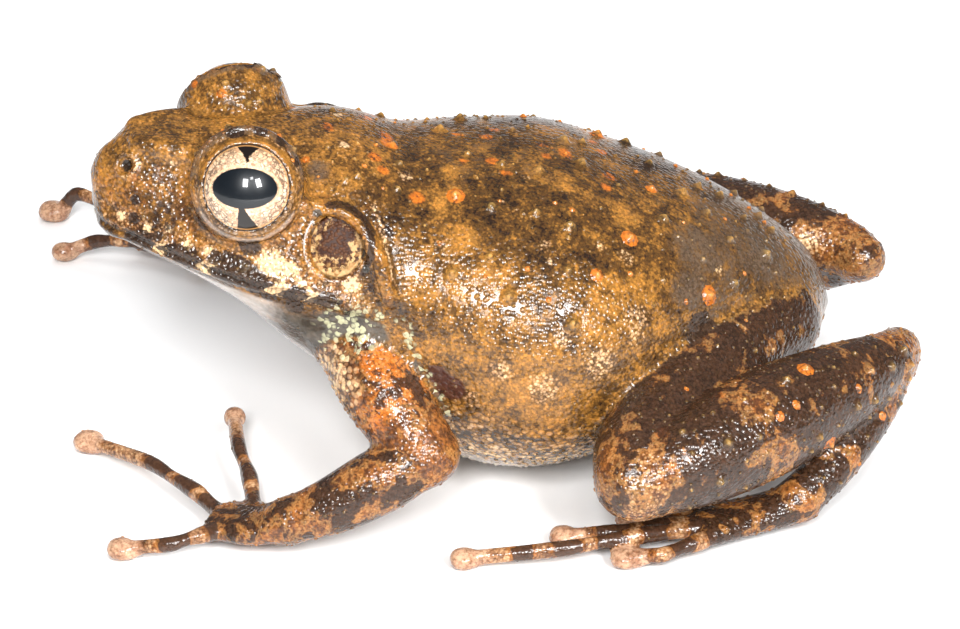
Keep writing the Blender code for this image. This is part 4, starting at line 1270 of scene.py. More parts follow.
def skin_finish():
    """The whole pattern of the skin, one layer of paint over the other."""
    bench = Bench("frog_skin", UMBER)
    place = bench.place()
    stored = {name: bench.stored(name) for name in fields}
    wide = bench.noise(place, 0.42, 3.0, 0.6) - 0.5
    mottle = bench.noise(place, 1.25, 4.0, 0.62, 7.0) - 0.5
    fleck = bench.noise(place, 4.6, 3.0, 0.6, 19.0) - 0.5
    dust = bench.noise(place, 10.0, 2.0, 0.6, 43.0) - 0.5
    ragged = (bench.noise(place, 1.9, 5.0, 0.7, 31.0) - 0.5) * 1.6 + fleck * 0.6
    fine_dome, fine_tone = bench.tiles(place, 7.5)
    bead_dome, bead_tone = bench.tiles(place, 3.7)
    share = stored["coarse"].step(0.3, 0.6)
    dome = fine_dome + (bead_dome - fine_dome) * share
    tone = fine_tone + (bead_tone - fine_tone) * share - 0.5
    bare = 1.0 - stored["smooth"]

    warmth = mottle * 1.35 + tone * 0.34 * bare + fleck * 0.8 + wide * 1.25 + stored["gold"] * 0.34 + 0.44
    bench.lay(OLIVE, warmth.step(0.05, 0.42))
    bench.lay(GOLDEN, warmth.step(0.42, 0.78))
    bench.lay(AMBER, (warmth + fleck * 0.6).step(0.78, 1.1))
    # The dusky layer: the back's dark brown, partly painted sheen on its top and towards the rump.
    dusky_and_sheen = bench.mix(DUSK_AND_SHEEN, DUSK_AND_SHEEN_DARK, (tone * 0.5 + mottle * 1.5 + 0.45).step(0.2, 0.8))
    bench.lay(dusky_and_sheen, (stored["dusk"] + ragged * 0.65 + wide * 0.9).step(0.32, 0.85) * 0.72)
    rust = bench.mix(RUST_SHADE, RUST, (mottle * 2.2 + fleck * 1.4 + tone * 0.3 + 0.5).step(0.15, 0.85))
    bench.lay(rust, (stored["rust"] + ragged * 0.5).step(0.35, 0.75))
    glow = bench.mix(RUST_SHADE, EMBER, (mottle * 2.0 + fleck * 1.5 + tone * 0.3 + 0.62).step(0.2, 0.7))
    bench.lay(glow, (stored["ember"] + ragged * 0.35).step(0.3, 0.85) * 0.88)
    beads = stored["cream"] + (tone * 0.4 + dome * 0.2 - 0.14) * bare + ragged * 0.3
    rich = (stored["cream"] * 0.9 + mottle * 2.0 + tone * 0.4).step(0.2, 1.0)
    fleshy = bench.mix(FLESH_SHADE, FLESH, (mottle * 2.2 + fleck + 0.55).step(0.1, 0.9))
    cream = bench.mix(bench.mix(TAN, CREAM, rich), fleshy, stored["flesh"])
    bench.lay(cream, beads.step(0.34, 0.88) * 0.92)
    edge = stored["dark"] + (wide * 1.3 + mottle * 0.3) * stored["limb"] + mottle * 0.6 + tone * 0.08
    edge = edge + ragged * (0.85 - stored["limb"] * 0.35)
    outline = (1.0 - (edge - 0.38).maths("ABSOLUTE").step(0.0, 0.12)) * stored["limb"] * bare * 0.38
    bench.lay(BAND_EDGE, outline)
    night = bench.mix(UMBER, DARK, (tone + fleck * 1.5 + 0.5).step(0.2, 0.9))
    night = bench.mix(night, NIGHT_FLESH, stored["flesh"])
    bench.lay(night, edge.step(0.44, 0.56) * 0.92)
    grey = bench.mix(GREY, GREY_LIGHT, (mottle * 2.0 + wide * 2.0 + 0.45).step(0.1, 0.9))
    bench.lay(grey, (stored["grey"] + ragged * 0.2).step(0.35, 0.75) * 0.92)
    bench.lay(PLUM, (stored["plum"] + ragged * 0.3).step(0.35, 0.7) * 0.9)
    granule = (stored["green"] + (bead_tone - 0.5) * 1.3 + bead_dome * 0.3 - 0.2).step(0.35, 0.75)
    bench.lay(GREEN, granule * stored["green"].step(0.05, 0.3) * 0.8)
    bench.lay(PALE, (stored["pale"] + ragged * 0.15).step(0.3, 0.75) * 0.93)
    net = (1.0 - dome.step(-0.3, 0.3)) * (0.3 + share * 0.35) * bare * (1.0 - stored["pale"] * 0.7)
    bench.lay(INK_AND_SHADE, net)
    bench.lay(INK_AND_SHADE, dust.step(0.06, 0.2) * (0.42 - stored["pale"] * 0.3) * bare)
    bench.lay(WART_TIP, stored["tip"] * (tone + 0.75) * 0.5)
    # Painted shade in the creases, grooves, lid margins and nostrils.
    bench.lay(INK_AND_SHADE, stored["crease"].step(0.25, 0.8) * 0.93)

    height = bead_dome.most(0.0) * (0.25 + bare * 0.75) + fleck * 0.4 * bare
    normal = bench.bump(height, 1.0, SKIN_BUMP)
    return bench.finish(Roughness=0.2 + mottle * 0.2, Normal=normal, Specular_IOR_Level=0.5,
                        Subsurface_Weight=0.05, Subsurface_Scale=0.0006)


skin_material = skin_finish()
skin.data.materials.append(skin_material)
skin.data.shade_smooth()
print("skin finish has", len(skin_material.node_tree.nodes), "nodes")

# %% [markdown]
# ## The eyes
# A frog's eye is a firm ball behind a clear cornea. The iris is a pale, veined ring with a dark notch above
# and below, and the pupil lies level and wide. The ball is turned on a lathe of rings round the line of
# sight, and each corner stores its own place on the eye: sideways, up and outward. A picture could be wrapped
# round the ball, but an iris drawn by formulas in those numbers stays sharp at any size. The ear discs are
# turned by the same two functions later on.

# %% The eyes
CORNEA, CORNEA_REACH = 0.06, 0.6
EYE_TURNS, EYE_TILTS = 72, 40
PUPIL = (0.612, 0.385)
IRIS_ROSE, IRIS_CREAM, IRIS_AMBER = (0.42, 0.22, 0.12), (0.84, 0.63, 0.43), (0.66, 0.36, 0.11)
VEIN, SPECK, PUPIL_RIM = (0.06, 0.03, 0.018), (0.12, 0.06, 0.03), (0.84, 0.52, 0.30)
# The pupil's colour is black with a faint blue that is painted reflection of the sky.
NOTCH, PUPIL_BLACK_AND_PAINTED_SKY = (0.006, 0.003, 0.002), (0.0016, 0.0036, 0.0062)
OUTER_RING, OUTER_EDGE = (0.62, 0.30, 0.09), (0.03, 0.018, 0.012)


def turned(first, rings, last, count):
    """Corners and faces of a closed form: a first corner, rings of width, height and level, a last corner."""
    turns = np.linspace(0.0, 2 * math.pi, count, endpoint=False)
    corners = [(0.0, 0.0, first)]
    for wide, tall, level in rings:
        corners += [(wide * math.cos(t), tall * math.sin(t), level) for t in turns]
    corners.append((0.0, 0.0, last))
    faces = [(0, 1 + k, 1 + (k + 1) % count) for k in range(count)]
    a = 1
    for _ in rings[1:]:
        b = a + count
        faces += [(a + k, b + k, b + (k + 1) % count, a + (k + 1) % count) for k in range(count)]
        a = b
    faces += [(a + k, len(corners) - 1, a + (k + 1) % count) for k in range(count)]
    return np.array(corners), faces


def set_in_head(name, side, form, centre, axes, layer, unit):
    """A turned form in its place in the head, on the left or on the right, which knows its own places."""
    local, faces = form
    points = (centre + local @ axes) * (side, 1.0, 1.0)
    if (np.linalg.det(axes) < 0) != (side < 0):
        faces = [face[::-1] for face in faces]
    piece = new_mesh(name, world(points), faces)
    store(piece.data, layer, local / unit)
    piece.data.shade_smooth()
    return piece


def eye_ball(name, side):
    """A closed ball round the line of sight, a little fuller at the cornea."""
    rings = []
    for tilt in np.linspace(0.0, math.pi, EYE_TILTS)[1:-1]:
        radius = EYE_RADIUS + CORNEA * math.exp(-(tilt / CORNEA_REACH) ** 2)
        rings.append((radius * math.sin(tilt), radius * math.sin(tilt), radius * math.cos(tilt)))
    form = turned(EYE_RADIUS + CORNEA, rings, -EYE_RADIUS, EYE_TURNS)
    return set_in_head(name, side, form, BALL_CENTRE, np.stack([EYE_ACROSS, EYE_UPRIGHT, EYE_AXIS]),
                       "gaze", EYE_RADIUS)


def outward_share(obj):
    """The share of faces that point away from the middle of a round piece."""
    middle = Vector(corners_of(obj.data).mean(0))
    return float(np.mean([(face.center - middle).dot(face.normal) > 0 for face in obj.data.polygons]))


def iris_finish():
    """A pale, veined ring round a level pupil, with a dark notch above and below."""
    bench = Bench("eye_iris", IRIS_ROSE)
    gaze = bench.stored("gaze", "Vector")
    across, rise = bench.parts(gaze)
    veins = bench.noise(gaze, 8.0, 5.0, 0.72) - 0.5
    grain = bench.noise(gaze, 30.0, 3.0, 0.65, 5.0) - 0.5
    reach = (across * across + rise * rise) ** 0.5 / (OPENING / EYE_RADIUS)
    bench.lay(IRIS_CREAM, (veins * 2.8 + grain * 1.8 + 0.42).step(0.0, 0.75))
    amber = (rise * 0.7 + reach * 0.5 + veins * 1.2).step(0.62, 1.15)
    bench.lay(IRIS_AMBER, amber * 0.55)
    net = 1.0 - bench.edges(bench.swirl(gaze, 6.0, 0.22), 9.0).step(0.02, 0.2)
    thread = net * (veins * 2.6 + reach * 0.75 + across.maths("ABSOLUTE") * 0.5).step(0.4, 0.95)
    bench.lay(VEIN, thread * 0.85)
    speck = (grain * 2.0 + reach * 0.5 - 0.05).step(0.5, 0.72)
    bench.lay(SPECK, speck * 0.55)
    pupil_x, pupil_y = (across + 0.013) / PUPIL[0], (rise + 0.012) / PUPIL[1]
    pupil = (pupil_x * pupil_x + pupil_y * pupil_y) ** 0.5
    rim = 1.0 - (pupil - 1.07).maths("ABSOLUTE").step(0.0, 0.08)
    bench.lay(PUPIL_RIM, rim * 0.7)
    wander = veins * 0.16 + grain * 0.05
    wedge = (rise - 0.447) * 0.45 + (rise - 0.63).most(0.0) * 0.6
    skewed = (across - 0.02 + wander).maths("ABSOLUTE") - wedge
    above = (1.0 - skewed.step(-0.012, 0.012)) * rise.step(0.42, 0.45)
    fall = -1.0 * rise - 0.44
    skewed = (across + 0.05 - fall * 0.305 + wander * 0.5).maths("ABSOLUTE") - (fall * 0.407 + 0.0735)
    below = (1.0 - skewed.step(-0.012, 0.012)) * fall.step(-0.12, -0.08)
    bench.lay(NOTCH, above.most(below))
    # The pupil: black, with a faint blue of painted reflection.
    bench.lay(PUPIL_BLACK_AND_PAINTED_SKY, 1.0 - pupil.step(0.975, 1.0))
    ring = 1.0 - (reach - 0.952).maths("ABSOLUTE").step(0.0, 0.022)
    bench.lay(OUTER_RING, ring * 0.7)
    bench.lay(OUTER_EDGE, reach.step(0.965, 0.985))
    return bench.finish(Roughness=0.35, Coat_Weight=1.0, Coat_Roughness=0.012, Coat_IOR=1.45,
                        Specular_IOR_Level=0.25)


iris_material = iris_finish()
eyes = {}
for side, label in SIDES:
    eyes[label] = eye_ball("glass_eye_" + label, side)
    eyes[label].data.materials.append(iris_material)
    print("eye", label, "faces outward:", round(outward_share(eyes[label]), 2))

# %% [markdown]
# ## The ear discs
# The frog hears through a thin round membrane. Painted on the skin, it would have an edge as coarse as the
# skin's mesh. So it is a separate lens of darker skin, set in the dish that the head's field has ready for
# it, and its edge is a true line.

# %% The ear discs
EAR_SHARE = 0.97
EAR_SINK = 0.2
EAR_DOME = 0.12
EAR_THICKNESS = 0.35
EAR_TURNS, EAR_RINGS = 56, 10
DIP_DEPTH, DIP_PLACE, DIP_WIDTH = 0.05, 0.8, 0.1
MEMBRANE, MEMBRANE_SHADE = (0.085, 0.032, 0.013), (0.03, 0.010, 0.005)
EAR_GOLD, EAR_GOLD_SHADE = (0.60, 0.38, 0.17), (0.30, 0.14, 0.035)
MEMBRANE_BUMP = 0.00003


def ear_lens(name, side):
    """A thin lens with a shallow dip inside its rim, for the dish of the skin."""
    rings = []
    for share in np.linspace(0.0, 1.0, EAR_RINGS + 1)[1:]:
        dip = DIP_DEPTH * math.exp(-((share - DIP_PLACE) / DIP_WIDTH) ** 2)
        level = EAR_DOME * (1.0 - share ** 2) - EAR_SINK - dip
        rings.append((share * EAR_SHARE * EAR_RADII[0], share * EAR_SHARE * EAR_RADII[1], level))
    form = turned(EAR_DOME - EAR_SINK, rings, -EAR_SINK - EAR_THICKNESS, EAR_TURNS)
    return set_in_head(name, side, form, EAR_CENTRE, np.stack([EAR_ACROSS, EAR_UPRIGHT, EAR_AXIS]),
                       "spot", (*EAR_RADII, 1.0))


def membrane_finish():
    """Dark, mottled skin that turns golden towards the rim."""
    bench = Bench("ear_membrane", MEMBRANE_SHADE)
    place = bench.place()
    across, rise = bench.parts(bench.stored("spot", "Vector"))
    reach = (across * across + rise * rise) ** 0.5
    mottle = bench.noise(place, 2.2, 5.0, 0.7, 3.0)
    dome, tone = bench.tiles(place, 6.5)
    bench.lay(MEMBRANE, (mottle + dome * 0.3).step(0.35, 0.9))
    gold = (reach * 1.1 - rise * 0.35 + (mottle - 0.5) * 2.6 + tone * 0.5).step(0.95, 1.35)
    bench.lay(bench.mix(EAR_GOLD_SHADE, EAR_GOLD, tone), gold * 0.8)
    normal = bench.bump(dome.most(0.0) * 0.8 + mottle * 0.5, 0.9, MEMBRANE_BUMP)
    return bench.finish(Roughness=0.38, Normal=normal, Specular_IOR_Level=0.12)


membrane_material = membrane_finish()
ears = {}
for side, label in SIDES:
    ears[label] = ear_lens("ear_disc_" + label, side)
    ears[label].data.materials.append(membrane_material)
    print("ear", label, "faces outward:", round(outward_share(ears[label]), 2))

# %% [markdown]
# ## Feet for the warts
# The name of this frog tells of its rough back. Pointed warts stand in loose rows along the back and down
# the legs, and crowd on the brows. Strewn freely they would lose their rows, so most feet start from a row,
# with a little chance in it. Each foot then settles on the skin's own field, whose slope there is the
# direction in which the wart points.

# %% Feet for the warts
FOOT_SEED, GLOW_SEED = 11, 5
BACK_ROWS = ((82, -5.4, 12.6), (64, -4.6, 12.9), (46, -4.9, 10.5), (98, -4.5, 12.8), (116, -5.2, 12.8),
             (134, -4.7, 10.5), (30, -4.0, 9.0), (150, -4.0, 9.0))
CROWN_ROWS = ((72, -10.6, -6.6), (108, -10.1, -6.6), (90, -9.4, -6.9), (56, -9.6, -6.4), (124, -9.6, -6.4))
BODY_ROWS = ((BACK_ROWS, 1.75, 1.0), (CROWN_ROWS, 1.15, 0.75))
LEG_ROWS = (("shank", (70.0, 35.0, 5.0, -25.0), 1.35, 0.8), ("tarsus", (40.0, 0.0), 1.3, 0.55),
            ("thigh", (65.0, 20.0), 1.6, 0.5))
BACK_SHARES, BROW_SHARES, LEG_SHARES = (1.0, 0.75, 0.55, 0.4), (0.72, 0.55, 0.45, 0.36), (1.0, 0.7, 0.5)
SCATTERED, ON_EACH_BROW = 170, 44
CLOSEST, LOWEST, FROM_LIDS = 0.5, 0.6, 0.35
MOST_OFF_SKIN, SLOPE_SLACK = 0.05, 0.35


def leg_feet(rng, name, turns, spacing, tall):
    """Feet in rows down a part of the left leg."""
    line = LIMB_LINES[name]
    lengths = np.r_[0.0, np.cumsum(np.linalg.norm(np.diff(line[:, :3], axis=0), axis=1))]

    def row_at(length):
        """Middle, half width and half height at one length down the limb."""
        return np.array([np.interp(length, lengths, line[:, k]) for k in range(5)])

    for turn in turns:
        length = rng.uniform(1.2, 2.2)
        while length < lengths[-1] - 0.6:
            row = row_at(length)
            across = np.cross(row_at(length + 0.2)[:3] - row[:3], UP)
            across *= math.copysign(1.0, across[0]) / np.linalg.norm(across)
            angle = math.radians(turn + rng.uniform(-9.0, 9.0))
            foot = row[:3] + across * row[3] * math.cos(angle) + UP * row[4] * math.sin(angle)
            yield foot, tall * rng.choice(LEG_SHARES)
            length += spacing * rng.uniform(0.75, 1.25)


def wart_feet():
    """Rough places of warts and how tall each is, as a share of the tallest."""
    rng = random.Random(FOOT_SEED)
    feet = []
    for rows, spacing, tall in BODY_ROWS:
        for angle, place, end in rows:
            while place < end:
                spot = place + rng.uniform(-0.5, 0.5)
                foot = body_point(spot, angle + rng.uniform(-6.0, 6.0))
                feet.append((foot, tall * rng.choice(BACK_SHARES)))
                place += spacing
    for _ in range(SCATTERED):
        spot, angle = rng.uniform(-11.0, 13.0), rng.uniform(12.0, 168.0)
        feet.append((body_point(spot, angle), rng.uniform(0.22, 0.42)))
    for side, _ in SIDES:
        for _ in range(ON_EACH_BROW):
            turn, rise = rng.uniform(0, 2 * math.pi), math.radians(rng.uniform(22.0, 88.0))
            way = np.array((math.cos(rise) * math.cos(turn), math.cos(rise) * math.sin(turn), math.sin(rise)))
            feet.append(((BROW_CENTRE + way * BROW_RADIUS) * (side, 1, 1), rng.choice(BROW_SHARES)))
        for rows in LEG_ROWS:
            feet += [(foot * (side, 1, 1), size) for foot, size in leg_feet(rng, *rows)]
    return feet


def from_lids(points):
    """How far outside the opening of the lids each point lies, on either side."""
    return apart(mirrored(points), BALL_CENTRE + EYE_AXIS * LID_LEVEL) - OPENING


feet = wart_feet()
foot_points = settle(skin_field, np.array([foot for foot, _ in feet]), times=5, reach=0.35)
foot_values, foot_slopes = slope_of(skin_field, foot_points)
on_skin = (np.abs(foot_values) < MOST_OFF_SKIN) & (foot_points[:, 2] > LOWEST)
on_skin &= from_lids(foot_points) > FROM_LIDS
on_skin &= np.abs(np.linalg.norm(foot_slopes, axis=1) - 1.0) < SLOPE_SLACK
for index in np.flatnonzero(on_skin):
    earlier = foot_points[:index][on_skin[:index]]
    on_skin[index] = not len(earlier) or apart(earlier, foot_points[index]).min() > CLOSEST
foot_points, foot_slopes = foot_points[on_skin], foot_slopes[on_skin]
foot_slopes /= np.linalg.norm(foot_slopes, axis=1)[:, None]
foot_sizes = np.array([size for _, size in feet])[on_skin]
print("warts:", len(foot_points), " dropped:", int((~on_skin).sum()))

# %% [markdown]
# ## Small forms that are repeated
# Under a lens a wart is a little cone with a soft shoulder and a pale tip, and a bead of the flank is a low
# dome. Both could be bumps of the shading alone, but then the outline of the back would be smooth. So each is
# a closed mesh of a few rings, made once, and a number on its corners says how near they are to the tip.

# %% Small forms that are repeated
def ringed_form(name, sides, rings, apex):
    """A small closed form: a flat foot, a few rings of a radius and a level, and a tip on top."""
    corners = [(radius * math.cos(2 * math.pi * k / sides), radius * math.sin(2 * math.pi * k / sides), level)
               for radius, level in rings for k in range(sides)]
    corners.append((0.0, 0.0, apex))
    faces = [tuple(range(sides))[::-1]]
    a = 0
    for _ in rings[1:]:
        b = a + sides
        faces += [(a + k, a + (k + 1) % sides, b + (k + 1) % sides, b + k) for k in range(sides)]
        a = b
    faces += [(a + k, a + (k + 1) % sides, len(corners) - 1) for k in range(sides)]
    form = new_mesh(name, corners, faces)
    form.data.shade_smooth()
    return form


wart_form = ringed_form(
    "wart_form", 8, ((1.5, -0.3), (1.02, 0.04), (0.7, 0.22), (0.46, 0.5), (0.28, 0.77), (0.13, 0.94)), 1.0)
bead_form = ringed_form("bead_form", 5, ((1.0, -0.4), (0.72, 0.62)), 1.0)
for form, tips in ((wart_form, (0.0, 0.0, 0.05, 0.3, 0.65, 0.9, 1.0)), (bead_form, (0.0, 0.2, 0.3))):
    sides = (len(form.data.vertices) - 1) // (len(tips) - 1)
    store(form.data, "tip", [tips[k // sides] for k in range(len(form.data.vertices))])
print("wart form:", len(wart_form.data.polygons), "faces; bead form:", len(bead_form.data.polygons), "faces")

# %% [markdown]
# ## Trees that set forms on points
# A loop that copies a form hundreds of times would leave hundreds of objects to look after. A Geometry Nodes
# tree does the same in one pass, and its inputs say which form, how wide and how high. The first tree sets a
# wart on every foot. The second strews beads over the skin, as dense as a stored number says, and never
# closer than a spacing.

# %% Trees of nodes
class Grove:
    """A Geometry Nodes tree with named inputs, which sets a form on points of its geometry."""

    def __init__(self, name, **more_inputs):
        self.tree = bpy.data.node_groups.new(name, "GeometryNodeTree")
        socket = self.tree.interface.new_socket
        for way in ("INPUT", "OUTPUT"):
            socket("Geometry", in_out=way, socket_type="NodeSocketGeometry")
        kinds = {"Form": "Object", "Width": "Float", "Height": "Float", **more_inputs}
        self.names = {key: socket(key, in_out="INPUT", socket_type="NodeSocket" + kind).identifier
                      for key, kind in kinds.items()}
        self.entry = self.tree.nodes.new("NodeGroupInput").outputs
        self.exit = self.tree.nodes.new("NodeGroupOutput").inputs

    def node(self, kind, settings=None, sockets=None):
        """A new node of this tree."""
        return add_node(self.tree, kind, settings, sockets)

    def stored(self, name, kind="FLOAT"):
        """A number, or a direction, that the geometry keeps under this name."""
        node = self.node("GeometryNodeInputNamedAttribute", {"data_type": kind}, {"Name": name})
        return next(s for s in node.outputs if s.name == "Attribute" and s.enabled)

    def close(self, points, turn, size, material):
        """One form on each point, stretched to the width and height asked for, as real faces."""
        shape = self.node("GeometryNodeObjectInfo", {}, {"Object": self.entry["Form"]})
        width, height = self.entry["Width"], self.entry["Height"]
        form = self.node("ShaderNodeCombineXYZ", {}, {0: width, 1: width, 2: height}).outputs[0]
        sized = self.node("ShaderNodeVectorMath", {"operation": "SCALE"}, {0: form, "Scale": size})
        placed = self.node("GeometryNodeInstanceOnPoints", {}, {
            "Points": points, "Instance": shape.outputs["Geometry"], "Rotation": turn,
            "Scale": sized.outputs[0]})
        real = self.node("GeometryNodeRealizeInstances", {}, {0: placed.outputs[0]}).outputs[0]
        painted = self.node("GeometryNodeSetMaterial", {}, {"Geometry": real, "Material": material})
        self.tree.links.new(painted.outputs[0], self.exit[0])
        return self


def wart_tree(material):
    """A wart on every point, as tall as its stored size and along its stored direction."""
    grove = Grove("warts_on_feet")
    outward = grove.stored("outward", "FLOAT_VECTOR")
    turn = grove.node("FunctionNodeAlignRotationToVector", {"axis": "Z"}, {"Vector": outward})
    return grove.close(grove.entry["Geometry"], turn.outputs[0], grove.stored("size"), material)


def bead_tree(material):
    """Beads strewn over faces, never closer than the spacing, as dense as a stored number says."""
    grove = Grove("beads_on_skin", Spacing="Float", Density="Float", Seed="Int", Where="String")
    entry = grove.entry
    strewn = grove.node("GeometryNodeDistributePointsOnFaces", {"distribute_method": "POISSON"}, {
        "Mesh": entry["Geometry"], "Distance Min": entry["Spacing"], "Density Max": entry["Density"],
        "Density Factor": grove.stored(entry["Where"]), "Seed": entry["Seed"]})
    size = grove.node("FunctionNodeRandomValue", {"data_type": "FLOAT"}, {
        "Min": 0.6, "Max": 1.15, "Seed": entry["Seed"]})
    size = next(s for s in size.outputs if s.enabled)
    return grove.close(strewn.outputs["Points"], strewn.outputs["Rotation"], size, material)


def grown(name, base, grove, **values):
    """A plain mesh of what a tree makes on a copy of the base object."""
    host = put("host", base.data)
    modifier = host.modifiers.new("Grown", "NODES")
    modifier.node_group = grove.tree
    for key, value in values.items():
        modifier[grove.names[key]] = value
    bpy.context.view_layer.update()
    mesh = bpy.data.meshes.new_from_object(host.evaluated_get(bpy.context.evaluated_depsgraph_get()))
    bpy.data.objects.remove(host)
    mesh.name = name
    mesh.shade_smooth()
    print(name, "has", sum(len(face.vertices) - 2 for face in mesh.polygons), "triangles")
    return put(name, mesh)


on_feet, strewing = wart_tree(skin_material), bead_tree(skin_material)
print("tree of warts:", len(on_feet.tree.nodes), "nodes; tree of beads:", len(strewing.tree.nodes), "nodes")

# %% [markdown]
# ## Warts and beads
# On the living frog a wart is skin like the rest. It has the tones of its place, and some warts glow orange.
# The feet of the warts could all have one colour, but they ask the marking function for their own tones, and
# the beads inherit theirs from the skin, so one finish colours everything without a break. Beads crowd on the
# flank, finer grit lies thinly on the back, and neither grows on the lids, the ear disc or the throat.

# %% Warts and beads
LEAST_WART = 0.3
FOOT_DEPTH = 0.03
GLOWING_SHARE, GLOW = 0.2, 0.75
LID_GAP, EAR_GAP, FLOOR_GAP = 0.3, 0.1, 0.25
GRIT_SHARE = 0.5

rng = random.Random(GLOW_SEED)
feet_mesh = new_mesh("feet", world(foot_points - foot_slopes * FOOT_DEPTH), [])
foot_fields = marking_fields(foot_points)
for index in range(len(foot_points)):
    if rng.random() < GLOWING_SHARE:
        foot_fields["ember"][index] = GLOW
        foot_fields["cream"][index] = foot_fields["dark"][index] = 0.0
for name, values in foot_fields.items():
    store(feet_mesh.data, name, values)
store(feet_mesh.data, "size", np.maximum(foot_sizes, LEAST_WART))
store(feet_mesh.data, "outward", foot_slopes)
warts = grown("back_warts", feet_mesh, on_feet, Form=wart_form, Width=0.0005, Height=0.00034)

# The skin itself is turned into metres only now, because every field above counts millimetres.
skin.data.vertices.foreach_set("co", world(settled).ravel())
skin.data.update()
from_ear = apart(mirrored(settled), EAR_CENTRE) - EAR_RADII[1]
free = (from_lids(settled) >= LID_GAP) & (from_ear >= EAR_GAP) & (settled[:, 2] > FLOOR_GAP)
coarse, rough, dry = fields["coarse"], 1 - fields["smooth"], 1 - fields["grey"]
bead = coarse * rough * dry
store(skin.data, "bead", np.where(free, bead, 0.0))
store(skin.data, "grit", np.where(free, GRIT_SHARE * (1 - bead) * rough * dry, 0.0))
beads = grown("flank_beads", skin, strewing, Form=bead_form, Width=0.00012, Height=0.00006,
              Spacing=0.00029, Density=1.1e7, Seed=3, Where="bead")
grit_beads = grown("back_grit", skin, strewing, Form=bead_form, Width=0.0001, Height=0.00005,
                   Spacing=0.00055, Density=4.0e6, Seed=8, Where="grit")
for helper in (wart_form, bead_form, feet_mesh):
    bpy.data.objects.remove(helper)

# %% [markdown]
# ## What stands for what
# Each piece rides on the one body of this still model and names the solid nodes that it stands for, which
# are then hidden.

# %% What stands for what
node_names = set(frame["nodes"])
separate = {"eye_left", "eye_right", "tympanum_left", "tympanum_right"}
for piece, nodes, slot in (
        (skin, sorted(node_names - separate), "back_skin"),
        (warts, (), "back_skin"), (beads, (), "back_skin"), (grit_beads, (), "back_skin"),
        (eyes["left"], ("eye_left",), "eye"), (eyes["right"], ("eye_right",), "eye"),
        (ears["left"], ("tympanum_left",), "ear_disc"), (ears["right"], ("tympanum_right",), "ear_disc")):
    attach(piece, "root")
    if nodes:
        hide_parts(*nodes)
print("nodes replaced:", len(node_names))

# %% [markdown]
# ## Studio floor and camera
# The floor is plain and pale, with a very faint unevenness so that it isn't a flat colour. The camera stands
# three hundred millimetres off, a little above and level with the frog's left side, as the photograph does.

# %% Studio floor and camera
WIDTH, HEIGHT = 960, 629
ELEVATION, AZIMUTH = math.radians(29.0), math.radians(83.0)
DISTANCE = 300.0
FLOOR_HALF = 2.0
FLOOR_SHADE, FLOOR_WHITE = (0.93, 0.93, 0.93), (0.95, 0.95, 0.948)
PIXELS_PER_MM = 20.1
ANCHOR_PIXEL = (505, 433)
SENSOR = 36.0


def floor_finish():
    """Plain matt white with the faintest of clouds."""
    bench = Bench("studio_floor", FLOOR_SHADE)
    bench.lay(FLOOR_WHITE, bench.noise(bench.place(), 0.02, 3.0, 0.5))
    return bench.finish(Roughness=0.7)


floor_corners = [(x * FLOOR_HALF, y * FLOOR_HALF, 0) for x, y in ((-1, -1), (1, -1), (1, 1), (-1, 1))]
floor = new_mesh("studio_floor", floor_corners, [(0, 1, 2, 3)])
floor.data.materials.append(floor_finish())

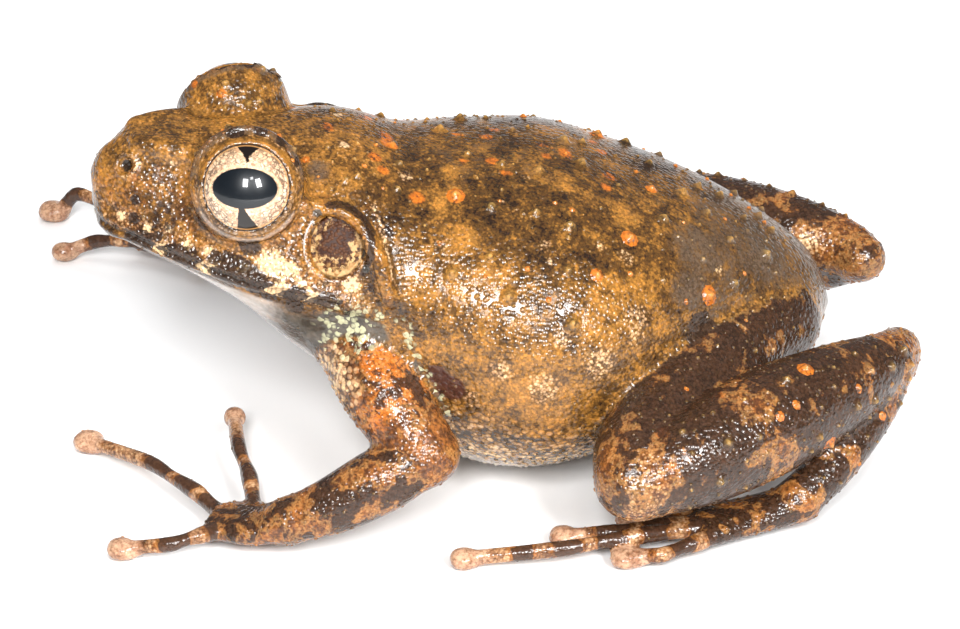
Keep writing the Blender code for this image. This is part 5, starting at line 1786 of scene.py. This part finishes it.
level = math.cos(ELEVATION)
back = np.array((math.sin(AZIMUTH) * level, -math.cos(AZIMUTH) * level, math.sin(ELEVATION)))
right = np.cross(-back, UP)
right /= np.linalg.norm(right)
upward = np.cross(right, -back)
focal = PIXELS_PER_MM * DISTANCE
beside, below = ANCHOR_PIXEL[0] - WIDTH / 2, ANCHOR_PIXEL[1] - HEIGHT / 2
camera_place = (back - right * beside / focal + upward * below / focal) * DISTANCE
lens = bpy.data.cameras.new("camera")
lens.sensor_width = SENSOR
lens.lens = focal / WIDTH * SENSOR
lens.clip_start = 0.01
lens.clip_end = 20.0
camera = put("camera", lens)
camera.location = world(camera_place)
camera.rotation_euler = Vector(back).to_track_quat("Z", "Y").to_euler()
bpy.context.scene.camera = camera
print("lens", round(lens.lens, 1), "mm; camera at", np.round(world(camera_place), 4))

# %% [markdown]
# ## Studio light
# Two small upright soft boxes and a spark of flash stand so that the eye mirrors them as the pair of little
# windows in the photograph. From the highlight's place on the ball, the mirror rule gives the direction of
# each lamp. A wide soft light overhead, another one far behind and a pale sky fill the shadows. The two wide
# lights are hidden from mirror reflections, or else they would lay a white veil on the moist skin.

# %% Studio light
# Each window: how far right and up its highlight stands on the ball, then the lamp's width, height and power.
WINDOWS = ((-0.049, 0.071, 0.085, 0.14, 1.9), (0.215, 0.072, 0.085, 0.14, 1.9),
           (0.079, 0.166, 0.045, 0.045, 0.15))
WIDE_LIGHTS = (("overhead", (0.0, 0.0, 0.9), 2.4), ("far_fill", (-0.75, 0.35, 0.5), 4.0))
LAMP_DISTANCE, WIDE_SIZE = 0.42, 0.7
SKY_COLOUR, SKY_STRENGTH = (0.93, 0.95, 1.0, 1.0), 0.2


def lamp(name, place, aim, size, power):
    """A rectangle of light that looks at a point."""
    light = bpy.data.lights.new(name, "AREA")
    light.shape = "RECTANGLE"
    light.size, light.size_y = size
    light.energy = power
    obj = put(name, light)
    obj.location = place
    obj.rotation_euler = (Vector(place) - Vector(aim)).to_track_quat("Z", "Y").to_euler()
    return obj


eye_place = world(BALL_CENTRE)
for index, (across, rise, wide, tall, power) in enumerate(WINDOWS):
    normal = right * across + upward * rise + back * math.sqrt(1 - across ** 2 - rise ** 2)
    toward = 2 * (normal @ back) * normal - back
    lamp(f"window_{index}", eye_place + toward * LAMP_DISTANCE, eye_place, (wide, tall), power)
for name, place, power in WIDE_LIGHTS:
    lamp(name, place, (0, 0, 0), (WIDE_SIZE, WIDE_SIZE), power).visible_glossy = False
sky = bpy.data.worlds.new("pale_sky")
sky.use_nodes = True
plug(sky.node_tree, sky.node_tree.nodes["Background"].inputs["Color"], SKY_COLOUR)
plug(sky.node_tree, sky.node_tree.nodes["Background"].inputs["Strength"], SKY_STRENGTH)
bpy.context.scene.world = sky
bpy.context.scene.view_settings.view_transform = "Standard"
